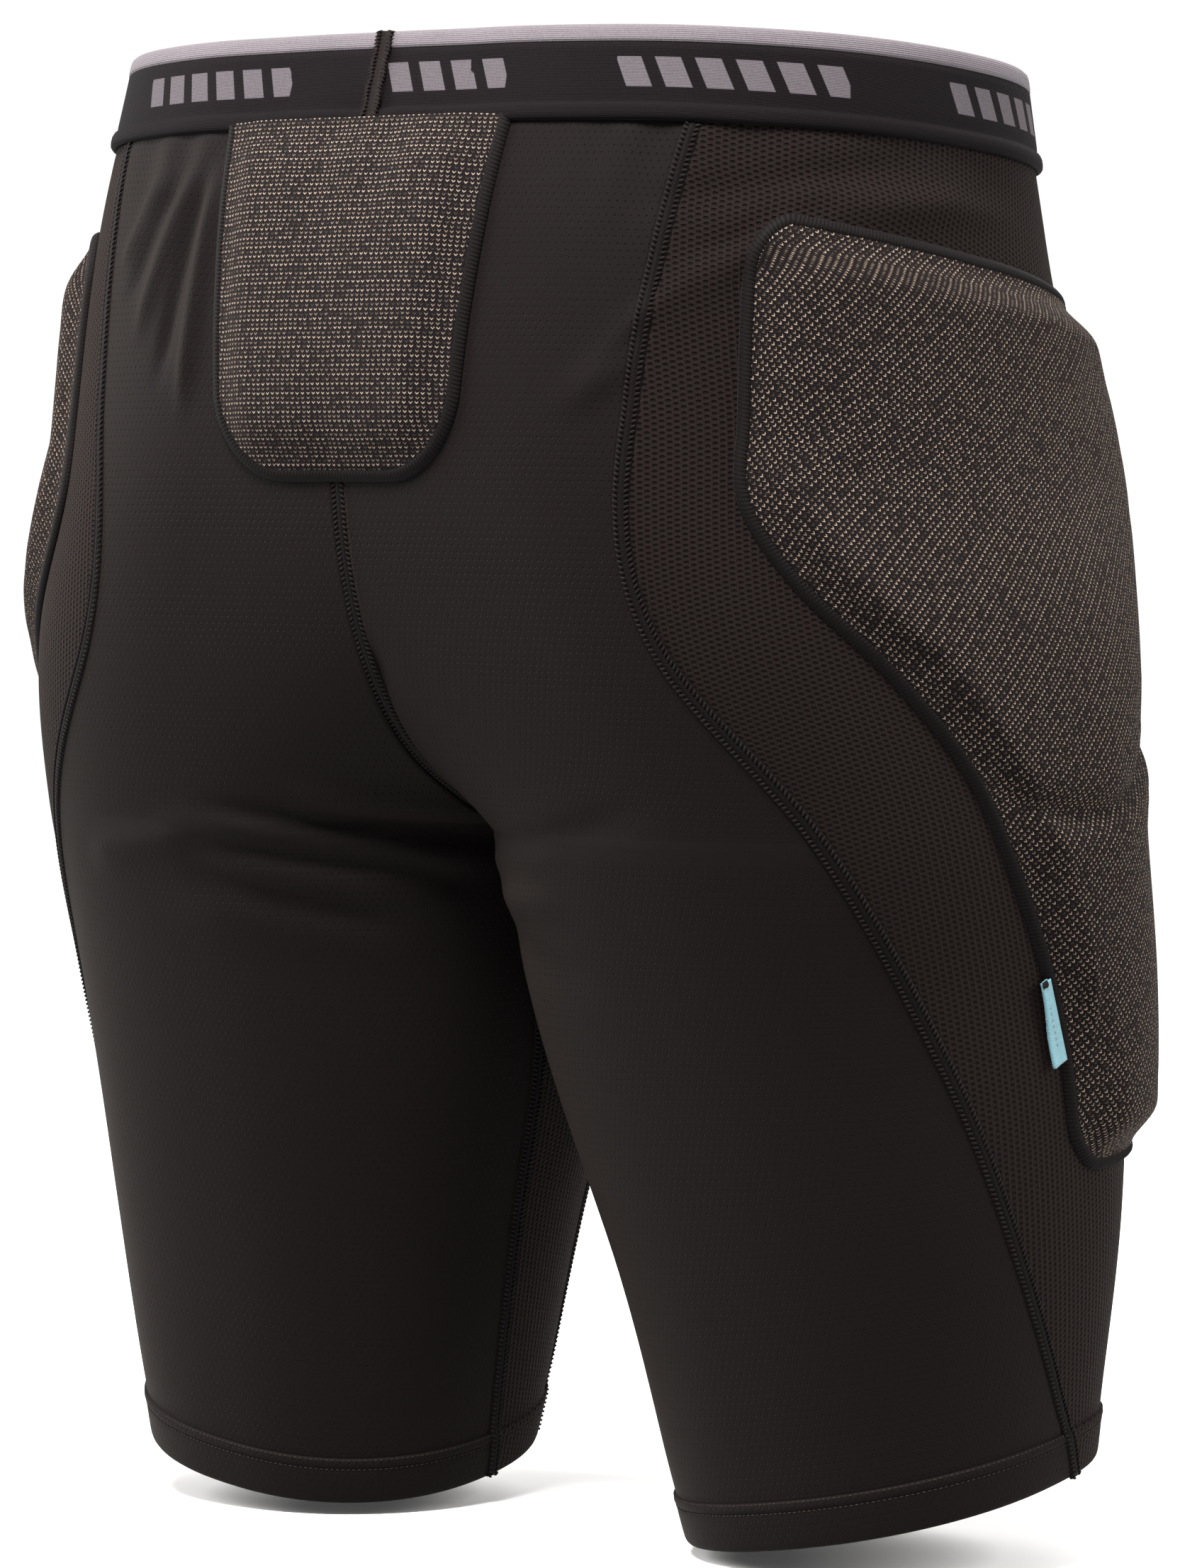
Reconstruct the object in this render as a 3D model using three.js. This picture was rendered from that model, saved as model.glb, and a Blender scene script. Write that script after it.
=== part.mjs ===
// Padded impact shorts: a close-fitting short with a woven waistband, knit and waffle-mesh
// panels, a tailbone pad and a long pad over each hip and thigh.
// Millimetres, +Z up, +Y to the wearer's front, +X to the wearer's right.
// The origin is the middle of the waist opening.
import * as THREE from "three";

// ---- overall sizes ----
const shortsHeight = 475;        // hem edge to waist edge
const crotchHeight = 225;        // hem edge to the crotch
const hipWidth = 390;            // across both hip pads
const frontToBack = 236;         // front to back at the seat
// ---- waistband ----
const bandHeight = 30;
const stripeHeight = 5.5;
const bandInset = 1.8;
const bandProud = 1.4;
const bandLipHeight = 4;
const bandLipProud = 2.2;
const joinWidth = 6;
const joinThickness = 0.9;
// ---- fabric and seams ----
const fabricThickness = 1.8;
const seamWidth = 5.5;
const seamProud = 0.4;
const centreSeamWidth = 6;
const pieceGap = 0.3;            // clearance between neighbouring pieces
const layerGap = 0.9;            // clearance under a pad that lies on the panels
// ---- hems ----
const hemHeight = 16;
const hemProud = 0.8;
// ---- hip and thigh pads ----
const padLow = 110;
const padTop = 406;
const padTopSlope = 11;
const padRise = 8.2;             // pad surface above its own edge
const padEdge = 2.3;             // height of the pad's edge above the panel
const padShoulder = 16;          // width of the rounded shoulder
const padCorner = 16;
const coverThickness = 1.4;
const foamInset = 7;
const foamGap = 1.5;
const foamLift = 1.4;            // clearance under a foam
const bindingWidth = 3.4;
const bindingRise = 2.5;
// ---- tailbone pad ----
const tailTopHalf = 56;
const tailLowHalf = 46;
const tailLow = 338;
const tailCorner = 24;
const tailRise = 5.6;
// ---- the fold of the leg under the hip ----
const hipPivotHeight = 313;
const hipPivotForward = -5;
const foldRadius = 80;
const foldGap = 2.8;
const foldDip = 1.6;
// ---- loop label on the right pad ----
const labelLength = 29;
const labelWidth = 6.5;
const labelThickness = 1.1;
const labelHeight = 165;
// ---- slopes of the waist and hem edges ----
const waistSlope = -0.088;
const hemSlopeForward = 0.17;
const hemSlopeOut = 0.146;
const roundness = 2.25;          // exponent of the oval sections

// Body sections from the hem up: share of the height, then for each leg's oval its centre
// from the middle plane, outer half width, half depth and forward shift.
const sections = [
  [0.0, 116, 69, 63, 16],
  [0.18, 108, 88, 75, 12],
  [0.36, 98, 101, 89, 4],
  [0.48, 91, 110, 96, -7],
  [0.6, 79, 116, 110, -9],
  [0.72, 60, 118, 125, -2],
  [0.86, 48, 122, 113, -7],
  [1.0, 37, 127, 96, -5],
];
// How much the belly side is flattened, by share of the height.
const bellyFlat = [[0.0, 0.0], [0.5, 0.0], [0.6, 0.03], [0.72, 0.15], [0.86, 0.07], [1.0, 0.0]];
// Half the gap between the legs, from the hem to the crotch.
const legGap = [[0.0, 54], [0.38, 32], [0.76, 3.5], [1.0, 0.4]];
// How strongly the two ovals still pinch in at the middle, above the crotch.
const pinch = [[0.0, 1.0], [0.12, 0.64], [0.32, 0.25], [0.6, 0.12], [1.0, 0.02]];
// Seam lines as an angle round the leg: 0 at the outer side, negative to the back.
const backSeamLine = [
  [0.0, 0.13], [0.16, -0.29], [0.32, -0.59], [0.48, -0.92], [0.6, -1.24], [0.76, -1.12], [0.94, -0.94],
];
const frontSeamLine = [[0.0, 0.85], [0.16, 0.92], [0.32, 1.0], [0.6, 1.14], [0.94, 1.1]];
const innerBackLine = [[0.0, -3.155], [0.42, -3.05], [1.0, -2.9]];
const innerFrontLine = [[0.0, 2.35], [0.42, 2.6], [1.0, 2.9]];
// Edges of the long pad: share of its height against angle.
const padBackLine = [
  [0.0, 0.0], [0.19, -0.07], [0.36, -0.205], [0.46, -0.323], [0.57, -0.538], [0.665, -0.76],
  [0.74, -0.84], [0.82, -0.8], [1.0, -0.75],
];
const padFrontLine = [[0.0, 0.78], [0.36, 0.74], [0.57, 0.75], [0.82, 0.76], [1.0, 0.74]];

// ---- colours ----
const looks = {
  band: [0x1b1b1d, 0.85],
  stripe: [0x5b5d60, 0.8],
  thread: [0x141414, 0.9],
  knit: [0x26272a, 0.8],
  waffle: [0x2a2826, 0.9],
  cover: [0x333230, 0.95],
  foam: [0x3c3c3f, 0.9],
  binding: [0x121213, 0.85],
  label: [0x8fb4cf, 0.8],
};

const group = new THREE.Group();
group.name = "padded_impact_shorts";

const nominalWidth = 390;
const nominalDepth = 236;
const widthScale = hipWidth / nominalWidth;
const depthScale = frontToBack / nominalDepth;
const bandLow = shortsHeight - bandHeight;
const panelTop = bandLow - pieceGap;
const panelLow = hemHeight + pieceGap;

// Smooth curve through stations given as [position, value] rows.
function through(rows, column, at) {
  const n = rows.length;
  const t = Math.min(Math.max(at, rows[0][0]), rows[n - 1][0]);
  const slope = [];
  for (let i = 0; i < n - 1; i += 1) {
    slope.push((rows[i + 1][column] - rows[i][column]) / (rows[i + 1][0] - rows[i][0]));
  }
  const tangent = [slope[0]];
  for (let i = 1; i < n - 1; i += 1) {
    const before = rows[i][0] - rows[i - 1][0];
    const after = rows[i + 1][0] - rows[i][0];
    tangent.push((slope[i - 1] * after + slope[i] * before) / (before + after));
  }
  tangent.push(slope[n - 2]);
  let i = 0;
  while (i < n - 2 && t >= rows[i + 1][0]) {
    i += 1;
  }
  const h = rows[i + 1][0] - rows[i][0];
  const s = (t - rows[i][0]) / h;
  const s2 = s * s;
  const s3 = s2 * s;
  return (2 * s3 - 3 * s2 + 1) * rows[i][column] + (s3 - 2 * s2 + s) * h * tangent[i]
    + (3 * s2 - 2 * s3) * rows[i + 1][column] + (s3 - s2) * h * tangent[i + 1];
}

function smooth(t) {
  const s = Math.min(Math.max(t, 0), 1);
  return s * s * (3 - 2 * s);
}

// The smaller of two distances, rounded off where they are alike.
function nearer(a, b) {
  const x = Math.max(a, 0.001);
  const y = Math.max(b, 0.001);
  return Math.pow(Math.pow(x, -4) + Math.pow(y, -4), -0.25);
}

function lerp(a, b, t) {
  return a + (b - a) * t;
}

function pinchAt(height) {
  const share = (height - crotchHeight) / (shortsHeight - crotchHeight);
  return Math.min(Math.max(through(pinch, 1, Math.max(share, 0)), 0.02), 1);
}

// The oval of one leg, or of one half of the seat, at a height above the hem.
function oval(height) {
  const share = height / shortsHeight;
  const centre = through(sections, 1, share) * widthScale;
  const outer = through(sections, 2, share) * widthScale;
  const depth = through(sections, 3, share) * depthScale;
  const forward = through(sections, 4, share) * depthScale;
  const low = height < crotchHeight;
  const q = pinchAt(height);
  const inner = low ? centre - through(legGap, 1, height / crotchHeight) : centre / q;
  const end = low ? Math.PI : Math.acos(-Math.pow(q, roundness / 2));
  return { centre, outer, inner, depth, forward, end, q };
}

function power(value) {
  return Math.sign(value) * Math.pow(Math.abs(value), 2 / roundness);
}

// Slopes of the waist and hem: how far a point is lifted.
function lift(x, y, height, centre) {
  const half = shortsHeight / 2;
  const up = smooth((height - half) / half);
  const down = 1 - smooth(height / half);
  return up * waistSlope * y + down * (hemSlopeForward * y + hemSlopeOut * (x - centre));
}

function flatAt(height) {
  const share = through(bellyFlat, 1, height / shortsHeight);
  return Math.max(share, 0) * smooth((height - crotchHeight) / 40);
}

// A point of the outer fabric surface of the right half.
function surface(angle, height) {
  const o = oval(height);
  const c = Math.cos(angle);
  const x = o.centre + (c >= 0 ? o.outer : o.inner) * power(c);
  const flat = 1 - flatAt(height) * smooth((angle - 0.65) / 0.8);
  const y = o.forward + o.depth * flat * power(Math.sin(angle));
  return new THREE.Vector3(x, y, height + lift(x, y, height, o.centre) - shortsHeight);
}

function outward(angle, height) {
  const h = Math.min(Math.max(height, 0.5), shortsHeight - 0.5);
  const side = surface(angle + 0.01, h).sub(surface(angle - 0.01, h));
  const up = surface(angle, h + 0.5).sub(surface(angle, h - 0.5));
  return side.cross(up).normalize();
}

function raised(angle, height, off) {
  return surface(angle, height).addScaledVector(outward(angle, height), off);
}

// Angle that lies a distance in millimetres round the leg from another.
function along(angle, height, distance) {
  const speed = surface(angle + 0.01, height).distanceTo(surface(angle - 0.01, height)) / 0.02;
  return angle + distance / speed;
}

// Angles between two limits that divide the fabric evenly.
function spread(height, from, to, count) {
  const fine = 48;
  const lengths = [0];
  let last = surface(from, height);
  for (let i = 1; i <= fine; i += 1) {
    const next = surface(lerp(from, to, i / fine), height);
    lengths.push(lengths[i - 1] + next.distanceTo(last));
    last = next;
  }
  const angles = [];
  for (let k = 0; k <= count; k += 1) {
    const want = (lengths[fine] * k) / count;
    let i = 0;
    while (i < fine - 1 && lengths[i + 1] < want) {
      i += 1;
    }
    const part = (want - lengths[i]) / (lengths[i + 1] - lengths[i]);
    angles.push(lerp(from, to, (i + part) / fine));
  }
  return angles;
}

// Angle at which the seat surface stands a distance from the middle plane.
function angleAtX(height, x, back) {
  const o = oval(height);
  const reach = (x - o.centre) / (x < o.centre ? o.inner : o.outer);
  const c = Math.sign(reach) * Math.pow(Math.min(Math.abs(reach), 1), roundness / 2);
  return (back ? -1 : 1) * Math.acos(c);
}

function addBody(name, look, positions, triangles, sign) {
  const flat = [];
  for (const p of positions) {
    flat.push(p.x * sign, p.y, p.z);
  }
  const order = [];
  for (const [a, b, c] of triangles) {
    order.push(a);
    order.push(sign > 0 ? b : c);
    order.push(sign > 0 ? c : b);
  }
  const geometry = new THREE.BufferGeometry();
  geometry.setAttribute("position", new THREE.Float32BufferAttribute(flat, 3));
  geometry.setIndex(order);
  geometry.computeVertexNormals();
  const material = new THREE.MeshStandardMaterial({
    color: looks[look][0],
    roughness: looks[look][1],
    metalness: 0,
    flatShading: false,
  });
  const mesh = new THREE.Mesh(geometry, material);
  mesh.name = name;
  group.add(mesh);
}

// A closed layer between an outer and an inner grid. closed joins the last column to the first.
function addLayer(name, look, columns, rows, place, sign, closed) {
  const positions = [];
  const wide = closed ? columns : columns + 1;
  for (const outer of [true, false]) {
    for (let j = 0; j <= rows; j += 1) {
      for (let i = 0; i < wide; i += 1) {
        positions.push(place(i, j, outer));
      }
    }
  }
  const half = wide * (rows + 1);
  const at = (i, j, outer) => (outer ? 0 : half) + j * wide + (i % wide);
  const triangles = [];
  // four corners become two triangles, split along the shorter diagonal
  const quad = (a, b, c, d) => {
    const first = positions[a].distanceTo(positions[c]);
    const second = positions[b].distanceTo(positions[d]);
    if (first <= second + 1e-6) {
      triangles.push([a, b, c]);
      triangles.push([a, c, d]);
    } else {
      triangles.push([a, b, d]);
      triangles.push([b, c, d]);
    }
  };
  for (let j = 0; j < rows; j += 1) {
    for (let i = 0; i < columns; i += 1) {
      quad(at(i, j, true), at(i + 1, j, true), at(i + 1, j + 1, true), at(i, j + 1, true));
      quad(at(i, j, false), at(i, j + 1, false), at(i + 1, j + 1, false), at(i + 1, j, false));
    }
  }
  for (let i = 0; i < columns; i += 1) {
    quad(at(i, 0, true), at(i, 0, false), at(i + 1, 0, false), at(i + 1, 0, true));
    quad(at(i, rows, true), at(i + 1, rows, true), at(i + 1, rows, false), at(i, rows, false));
  }
  if (!closed) {
    for (let j = 0; j < rows; j += 1) {
      quad(at(0, j, true), at(0, j + 1, true), at(0, j + 1, false), at(0, j, false));
      quad(at(columns, j, true), at(columns, j, false), at(columns, j + 1, false), at(columns, j + 1, true));
    }
  }
  addBody(name, look, positions, triangles, sign);
}

// Heights of the panel rows: even up to the crotch, then closer together just above it.
const lowRows = 7;
const highRows = 11;
const levels = [];
for (let k = 0; k <= lowRows; k += 1) {
  levels.push(lerp(panelLow, crotchHeight, k / lowRows));
}
for (let k = 1; k <= highRows; k += 1) {
  levels.push(lerp(crotchHeight, panelTop, Math.pow(k / highRows, 1.55)));
}

function lineAt(line, height) {
  return through(line, 1, height / shortsHeight);
}

function innerLineAt(line, height) {
  return through(line, 1, height / crotchHeight);
}

const halfSeam = seamWidth / 2;
const seamClear = halfSeam + pieceGap;
const centreClear = centreSeamWidth / 2 + pieceGap;

// Where the back and front panels end towards the middle.
function middleLimit(height, back) {
  const line = innerLineAt(back ? innerBackLine : innerFrontLine, height);
  const low = back ? along(line, height, seamClear) : along(line, height, -seamClear);
  if (height < crotchHeight) {
    return low;
  }
  const high = angleAtX(height, centreClear, back);
  return high;
}

function addPanel(name, look, columns, rowHeights, from, to, sign) {
  const angles = rowHeights.map((h) => spread(h, from(h), to(h), columns));
  const place = (i, j, outer) => raised(angles[j][i], rowHeights[j], outer ? 0 : -fabricThickness);
  addLayer(name, look, columns, rowHeights.length - 1, place, sign, false);
}

function addSeam(name, rowHeights, line, sign) {
  const place = (i, j, outer) => {
    const angle = along(line(rowHeights[j]), rowHeights[j], i === 0 ? -halfSeam : halfSeam);
    return raised(angle, rowHeights[j], outer ? seamProud : -fabricThickness);
  };
  addLayer(name, "thread", 1, rowHeights.length - 1, place, sign, false);
}

// ---- long pad over the hip and thigh ----
function padShare(height) {
  return (height - padLow) / (padTop - padLow);
}

function padTopAt(angle) {
  return padTop - padTopSlope * angle;
}

// Rounded corners: how far an edge draws in near the pad's ends.
function cornerIn(height, angle, radius) {
  const top = padTopAt(angle) - height;
  const low = height - padLow;
  const near = Math.min(top, low);
  const u = Math.min(Math.max(1 - near / radius, 0), 1);
  return radius * (1 - Math.sqrt(1 - u * u));
}

function padEdgeAngle(height, front, inset) {
  const base = through(front ? padFrontLine : padBackLine, 1, padShare(height));
  const turn = cornerIn(height, base, padCorner) + inset;
  return along(base, height, front ? -turn : turn);
}

function foldHeight(angle, start, away) {
  let h = start;
  for (let k = 0; k < 12; k += 1) {
    const p = surface(angle, h);
    const y = Math.min(Math.abs(p.y - hipPivotForward), foldRadius - 8);
    const radius = foldRadius + away;
    const want = hipPivotHeight - shortsHeight - Math.sqrt(radius * radius - y * y);
    h += want - p.z;
  }
  return h;
}

// Share of a length for one grid line: closer together on the rounded shoulders.
function shareAt(k, count, steps, length) {
  const n = steps.length - 1;
  const fit = Math.min(1, (0.3 * length) / steps[n]) / length;
  if (k <= n) {
    return steps[k] * fit;
  }
  if (k >= count - n) {
    return 1 - steps[count - k] * fit;
  }
  return lerp(steps[n] * fit, 1 - steps[n] * fit, (k - n) / (count - 2 * n));
}

// Rows that start close together at the low edge and end on the upper shoulder.
function risingShare(k, count, steps, length) {
  const n = steps.length - 1;
  if (k > count - n) {
    return 1 - steps[count - k] / length;
  }
  return Math.pow(k / (count - n), 1.6) * (1 - steps[n] / length);
}

function padPoint(i, j, wide, tall, steps, inset, lowLimit, highLimit, rowShare = shareAt) {
  let h = lerp(padLow, padTop, 0.5);
  let angle = 0;
  for (let k = 0; k < 24; k += 1) {
    const back = padEdgeAngle(h, false, inset);
    const front = padEdgeAngle(h, true, inset);
    const speed = surface(angle + 0.01, h).distanceTo(surface(angle - 0.01, h)) / 0.02;
    angle = lerp(back, front, shareAt(i, wide, steps, (front - back) * speed));
    const low = lowLimit(angle, h);
    const high = highLimit(angle, h);
    const want = lerp(low, high, rowShare(j, tall, steps, high - low));
    h = lerp(h, want, 0.8);
  }
  return [angle, h];
}

function padHeightOff(angle, height) {
  const back = padEdgeAngle(height, false, 0);
  const front = padEdgeAngle(height, true, 0);
  const speed = surface(angle + 0.01, height).distanceTo(surface(angle - 0.01, height)) / 0.02;
  const across = Math.min(angle - back, front - angle) * speed;
  const updown = Math.min(height - padLow, padTopAt(angle) - height);
  const shoulder = smooth(nearer(across, updown) / padShoulder);
  const p = surface(angle, height);
  const reach = Math.hypot(p.y - hipPivotForward, p.z + shortsHeight - hipPivotHeight);
  const off = (reach - foldRadius) / 5;
  const below = p.z + shortsHeight < hipPivotHeight - 20 ? 1 : 0;
  const dip = below * foldDip * Math.exp(-off * off);
  return padEdge + (padRise - dip) * shoulder;
}

const shoulderSteps = [0, 0.3 * padShoulder, 0.62 * padShoulder, padShoulder];
const foamSteps = [0, 0.62 * padShoulder - foamInset + 1.5, padShoulder - foamInset];
const lowEdge = () => padLow;
const highEdge = (angle) => padTopAt(angle);

function frameOnEdge(points, normals, k, count, closed) {
  const before = closed ? (k + count - 1) % count : Math.max(k - 1, 0);
  const after = closed ? (k + 1) % count : Math.min(k + 1, count - 1);
  const ahead = points[after].clone().sub(points[k]).normalize();
  const behind = points[k].clone().sub(points[before]).normalize();
  const tangent = ahead.add(behind).normalize();
  const inside = normals[k].clone().cross(tangent).normalize();
  return { tangent, inside };
}

// Overlock binding that runs round the outside of a pad's edge.
function addBinding(name, points, normals, sign, closed) {
  const count = points.length;
  const place = (i, j, outer) => {
    const f = frameOnEdge(points, normals, i, count, closed);
    const across = -(pieceGap + bindingWidth) + (bindingWidth * j) / 2;
    const top = j === 1 ? bindingRise + 0.3 : bindingRise - 0.5;
    const p = points[i].clone().addScaledVector(f.inside, across);
    return p.addScaledVector(normals[i], outer ? top : layerGap);
  };
  addLayer(name, "binding", closed ? count : count - 1, 2, place, sign, closed);
}

function addLongPad(prefix, sign) {
  const columns = 12;
  const rows = 18;
  const grid = [];
  for (let j = 0; j <= rows; j += 1) {
    const line = [];
    for (let i = 0; i <= columns; i += 1) {
      line.push(padPoint(i, j, columns, rows, shoulderSteps, 0, lowEdge, highEdge));
    }
    grid.push(line);
  }
  const cover = (i, j, outer) => {
    const [angle, h] = grid[j][i];
    const off = padHeightOff(angle, h);
    return raised(angle, h, outer ? off : off - coverThickness);
  };
  addLayer(prefix + "pad_cover", "cover", columns, rows, cover, sign, false);

  const loop = [];
  for (let i = 0; i < columns; i += 1) {
    loop.push(grid[0][i]);
  }
  for (let j = 0; j < rows; j += 1) {
    loop.push(grid[j][columns]);
  }
  for (let i = columns; i > 0; i -= 1) {
    loop.push(grid[rows][i]);
  }
  for (let j = rows; j > 0; j -= 1) {
    loop.push(grid[j][0]);
  }
  const points = loop.map(([angle, h]) => surface(angle, h));
  const normals = loop.map(([angle, h]) => outward(angle, h));
  addBinding(prefix + "pad_binding", points, normals, sign, true);

  const foamTop = (angle) => padTopAt(angle) - foamInset;
  const foamLow = () => padLow + foamInset;
  const parts = [
    ["hip_pad_foam", (angle, h) => foldHeight(angle, h, -foldGap / 2), foamTop, 12, 17, risingShare],
    ["thigh_pad_foam", foamLow, (angle, h) => foldHeight(angle, h, foldGap / 2), 9, 9, shareAt],
  ];
  for (const [name, low, high, wide, tall, share] of parts) {
    const place = (i, j, outer) => {
      const [angle, h] = padPoint(i, j, wide, tall, foamSteps, foamInset, low, high, share);
      const top = padHeightOff(angle, h) - coverThickness - foamGap;
      return raised(angle, h, outer ? Math.max(top, foamLift + 0.5) : foamLift);
    };
    addLayer(prefix + name, "foam", wide, tall, place, sign, false);
  }
}

// ---- one side of the shorts ----
function addSide(prefix, sign) {
  const below = levels.filter((h) => h < crotchHeight - 0.01);
  below.push(crotchHeight - 1.4);
  const backSide = (h) => lineAt(backSeamLine, h);
  const frontSide = (h) => lineAt(frontSeamLine, h);
  const innerBack = (h) => innerLineAt(innerBackLine, h);
  const innerFront = (h) => innerLineAt(innerFrontLine, h);
  const turn = 2 * Math.PI;

  addPanel(prefix + "back_panel", "knit", 10, levels,
    (h) => middleLimit(h, true), (h) => along(backSide(h), h, -seamClear), sign);
  addPanel(prefix + "side_mesh_panel", "waffle", 10, levels,
    (h) => along(backSide(h), h, seamClear), (h) => along(frontSide(h), h, -seamClear), sign);
  addPanel(prefix + "front_panel", "knit", 9, levels,
    (h) => along(frontSide(h), h, seamClear), (h) => middleLimit(h, false), sign);
  addPanel(prefix + "inner_thigh_panel", "waffle", 5, below,
    (h) => along(innerFront(h), h, seamClear),
    (h) => along(innerBack(h) + turn, h, -seamClear), sign);

  addSeam(prefix + "back_side_seam", levels, backSide, sign);
  addSeam(prefix + "front_side_seam", levels, frontSide, sign);
  addSeam(prefix + "inner_thigh_back_seam", below, innerBack, sign);
  addSeam(prefix + "inner_thigh_front_seam", below, innerFront, sign);

  const hemColumns = 28;
  const hemPlace = (i, j, outer) => {
    const h = (hemHeight * j) / 2;
    const angles = spread(h, -Math.PI, Math.PI, hemColumns);
    const p = raised(angles[i], h, outer ? hemProud : -fabricThickness - pieceGap);
    if (j === 0) {
      // the cut edge lies in one plane
      p.z = hemSlopeForward * p.y + hemSlopeOut * (p.x - oval(0).centre) - shortsHeight;
    }
    return p;
  };
  addLayer(prefix + "hem", "knit", hemColumns, 2, hemPlace, sign, true);

  addLongPad(prefix, sign);
}

// ---- pieces that cross the middle plane ----
// Point of the middle line: back or front, at a height above the crotch.
function middlePoint(height, back) {
  const o = oval(height);
  const reach = Math.pow(1 - Math.pow(o.q, roundness), 1 / roundness);
  const flat = back ? 1 : 1 - flatAt(height);
  const y = o.forward + (back ? -1 : 1) * o.depth * flat * reach;
  return [y, height + lift(0, y, height, o.centre) - shortsHeight];
}

function addCentreSeam(name, path) {
  const place = (i, j, outer) => {
    const before = path[Math.max(j - 1, 0)];
    const after = path[Math.min(j + 1, path.length - 1)];
    const along2 = new THREE.Vector2(after[0] - before[0], after[1] - before[1]).normalize();
    const off = outer ? seamProud : -fabricThickness;
    const x = (0.5 - i) * centreSeamWidth;
    return new THREE.Vector3(x, path[j][0] + along2.y * off, path[j][1] - along2.x * off);
  };
  addLayer(name, "thread", 1, path.length - 1, place, 1, false);
}

function addCentreSeams() {
  const above = levels.filter((h) => h > crotchHeight + 0.01);
  const joinHeight = above[1];
  const high = above.filter((h) => h >= joinHeight);
  const backPath = high.map((h) => middlePoint(h, true)).reverse();
  const frontPath = high.map((h) => middlePoint(h, false));
  const saddle = [];
  const steps = 12;
  const q = pinchAt(joinHeight);
  const widest = Math.pow(1 - Math.pow(q, roundness), 1 / roundness);
  for (let k = 0; k <= steps; k += 1) {
    const side = lerp(-widest, widest, k / steps);
    const wanted = Math.pow(1 - Math.pow(Math.abs(side), roundness), 1 / roundness);
    let lowH = crotchHeight;
    let highH = joinHeight;
    for (let n = 0; n < 30; n += 1) {
      const mid = (lowH + highH) / 2;
      if (pinchAt(mid) > wanted) {
        lowH = mid;
      } else {
        highH = mid;
      }
    }
    const h = k === 0 || k === steps ? joinHeight : lowH;
    const o = oval(Math.max(h, crotchHeight));
    const y = o.forward + side * o.depth;
    saddle.push([y, h + lift(0, y, h, o.centre) - shortsHeight]);
  }
  // the joints between the three lengths stand a piece gap apart
  const short = (from, to) => {
    const d = Math.hypot(to[0] - from[0], to[1] - from[1]);
    const t = (2 * pieceGap) / d;
    return [lerp(from[0], to[0], t), lerp(from[1], to[1], t)];
  };
  saddle[0] = short(saddle[0], saddle[1]);
  saddle[steps] = short(saddle[steps], saddle[steps - 1]);
  addCentreSeam("centre_back_seam", backPath);
  addCentreSeam("crotch_seam", saddle);
  addCentreSeam("centre_front_seam", frontPath);
}

// Point on the back of the seat at a distance from the middle plane, either side.
function seatBack(x, height, off) {
  const angle = angleAtX(height, Math.max(Math.abs(x), 0.01), true);
  const p = surface(angle, height);
  const n = outward(angle, height);
  if (x < 0) {
    p.x = -p.x;
    n.x = -n.x;
  }
  if (Math.abs(x) < 0.02) {
    n.x = 0;
    n.normalize();
  }
  return p.addScaledVector(n, off);
}

function seatBackNormal(x, height) {
  return seatBack(x, height, 1).sub(seatBack(x, height, 0));
}

function tailHalf(height) {
  const top = panelTop;
  const base = lerp(tailLowHalf, tailTopHalf, (height - tailLow) / (top - tailLow));
  const near = height - tailLow;
  const u = Math.min(Math.max(1 - near / tailCorner, 0), 1);
  return base - tailCorner * (1 - Math.sqrt(1 - u * u));
}

function tailOff(x, height) {
  const across = tailHalf(height) - Math.abs(x);
  const low = height - tailLow;
  const high = panelTop - height;
  const rise = smooth(nearer(across, low) / padShoulder) * lerp(0.6, 1, smooth(high / padShoulder));
  return padEdge + tailRise * rise;
}

function addTailPad() {
  const columns = 12;
  const rows = 10;
  const at = (i, j, inset) => {
    const steps = inset > 0 ? foamSteps : shoulderSteps;
    const low = tailLow + inset;
    const high = panelTop - pieceGap - (inset > 0 ? 1 : 0);
    const v = shareAt(j, rows, steps, high - low);
    const h = lerp(low, high, v);
    const half = tailHalf(h - inset * (1 - v)) - inset;
    const u = 2 * shareAt(i, columns, steps, 2 * half) - 1;
    return [u * half, h];
  };
  const cover = (i, j, outer) => {
    const [x, h] = at(i, j, 0);
    const off = tailOff(x, h);
    return seatBack(x, h, outer ? off : off - coverThickness);
  };
  addLayer("tailbone_pad_cover", "cover", columns, rows, cover, 1, false);
  const foam = (i, j, outer) => {
    const [x, h] = at(i, j, foamInset);
    const top = tailOff(x, h) - coverThickness - foamGap;
    return seatBack(x, h, outer ? Math.max(top, foamLift + 0.5) : foamLift);
  };
  addLayer("tailbone_pad_foam", "foam", columns, rows, foam, 1, false);

  const loop = [];
  for (let j = rows; j > 0; j -= 1) {
    loop.push(at(0, j, 0));
  }
  for (let i = 0; i < columns; i += 1) {
    loop.push(at(i, 0, 0));
  }
  for (let j = 0; j <= rows; j += 1) {
    loop.push(at(columns, j, 0));
  }
  const points = loop.map(([x, h]) => seatBack(x, h, 0));
  const normals = loop.map(([x, h]) => seatBackNormal(x, h));
  addBinding("tailbone_pad_binding", points, normals, 1, false);
}

// ---- waistband ----
function addRing(name, look, rowsOf, halfColumns) {
  const place = (i, j, outer) => {
    const [h, out, inn] = rowsOf[j];
    const end = oval(h).end;
    const angles = spread(h, -end, end, halfColumns);
    const right = i <= halfColumns;
    const k = right ? i : 2 * halfColumns - i;
    const p = surface(angles[k], h);
    const n = outward(angles[k], h);
    if (k === 0 || k === halfColumns) {
      p.x = 0;
      n.x = 0;
      n.normalize();
    }
    p.addScaledVector(n, outer ? out : inn);
    if (!right) {
      p.x = -p.x;
    }
    return p;
  };
  addLayer(name, look, 2 * halfColumns, rowsOf.length - 1, place, 1, true);
}

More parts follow.
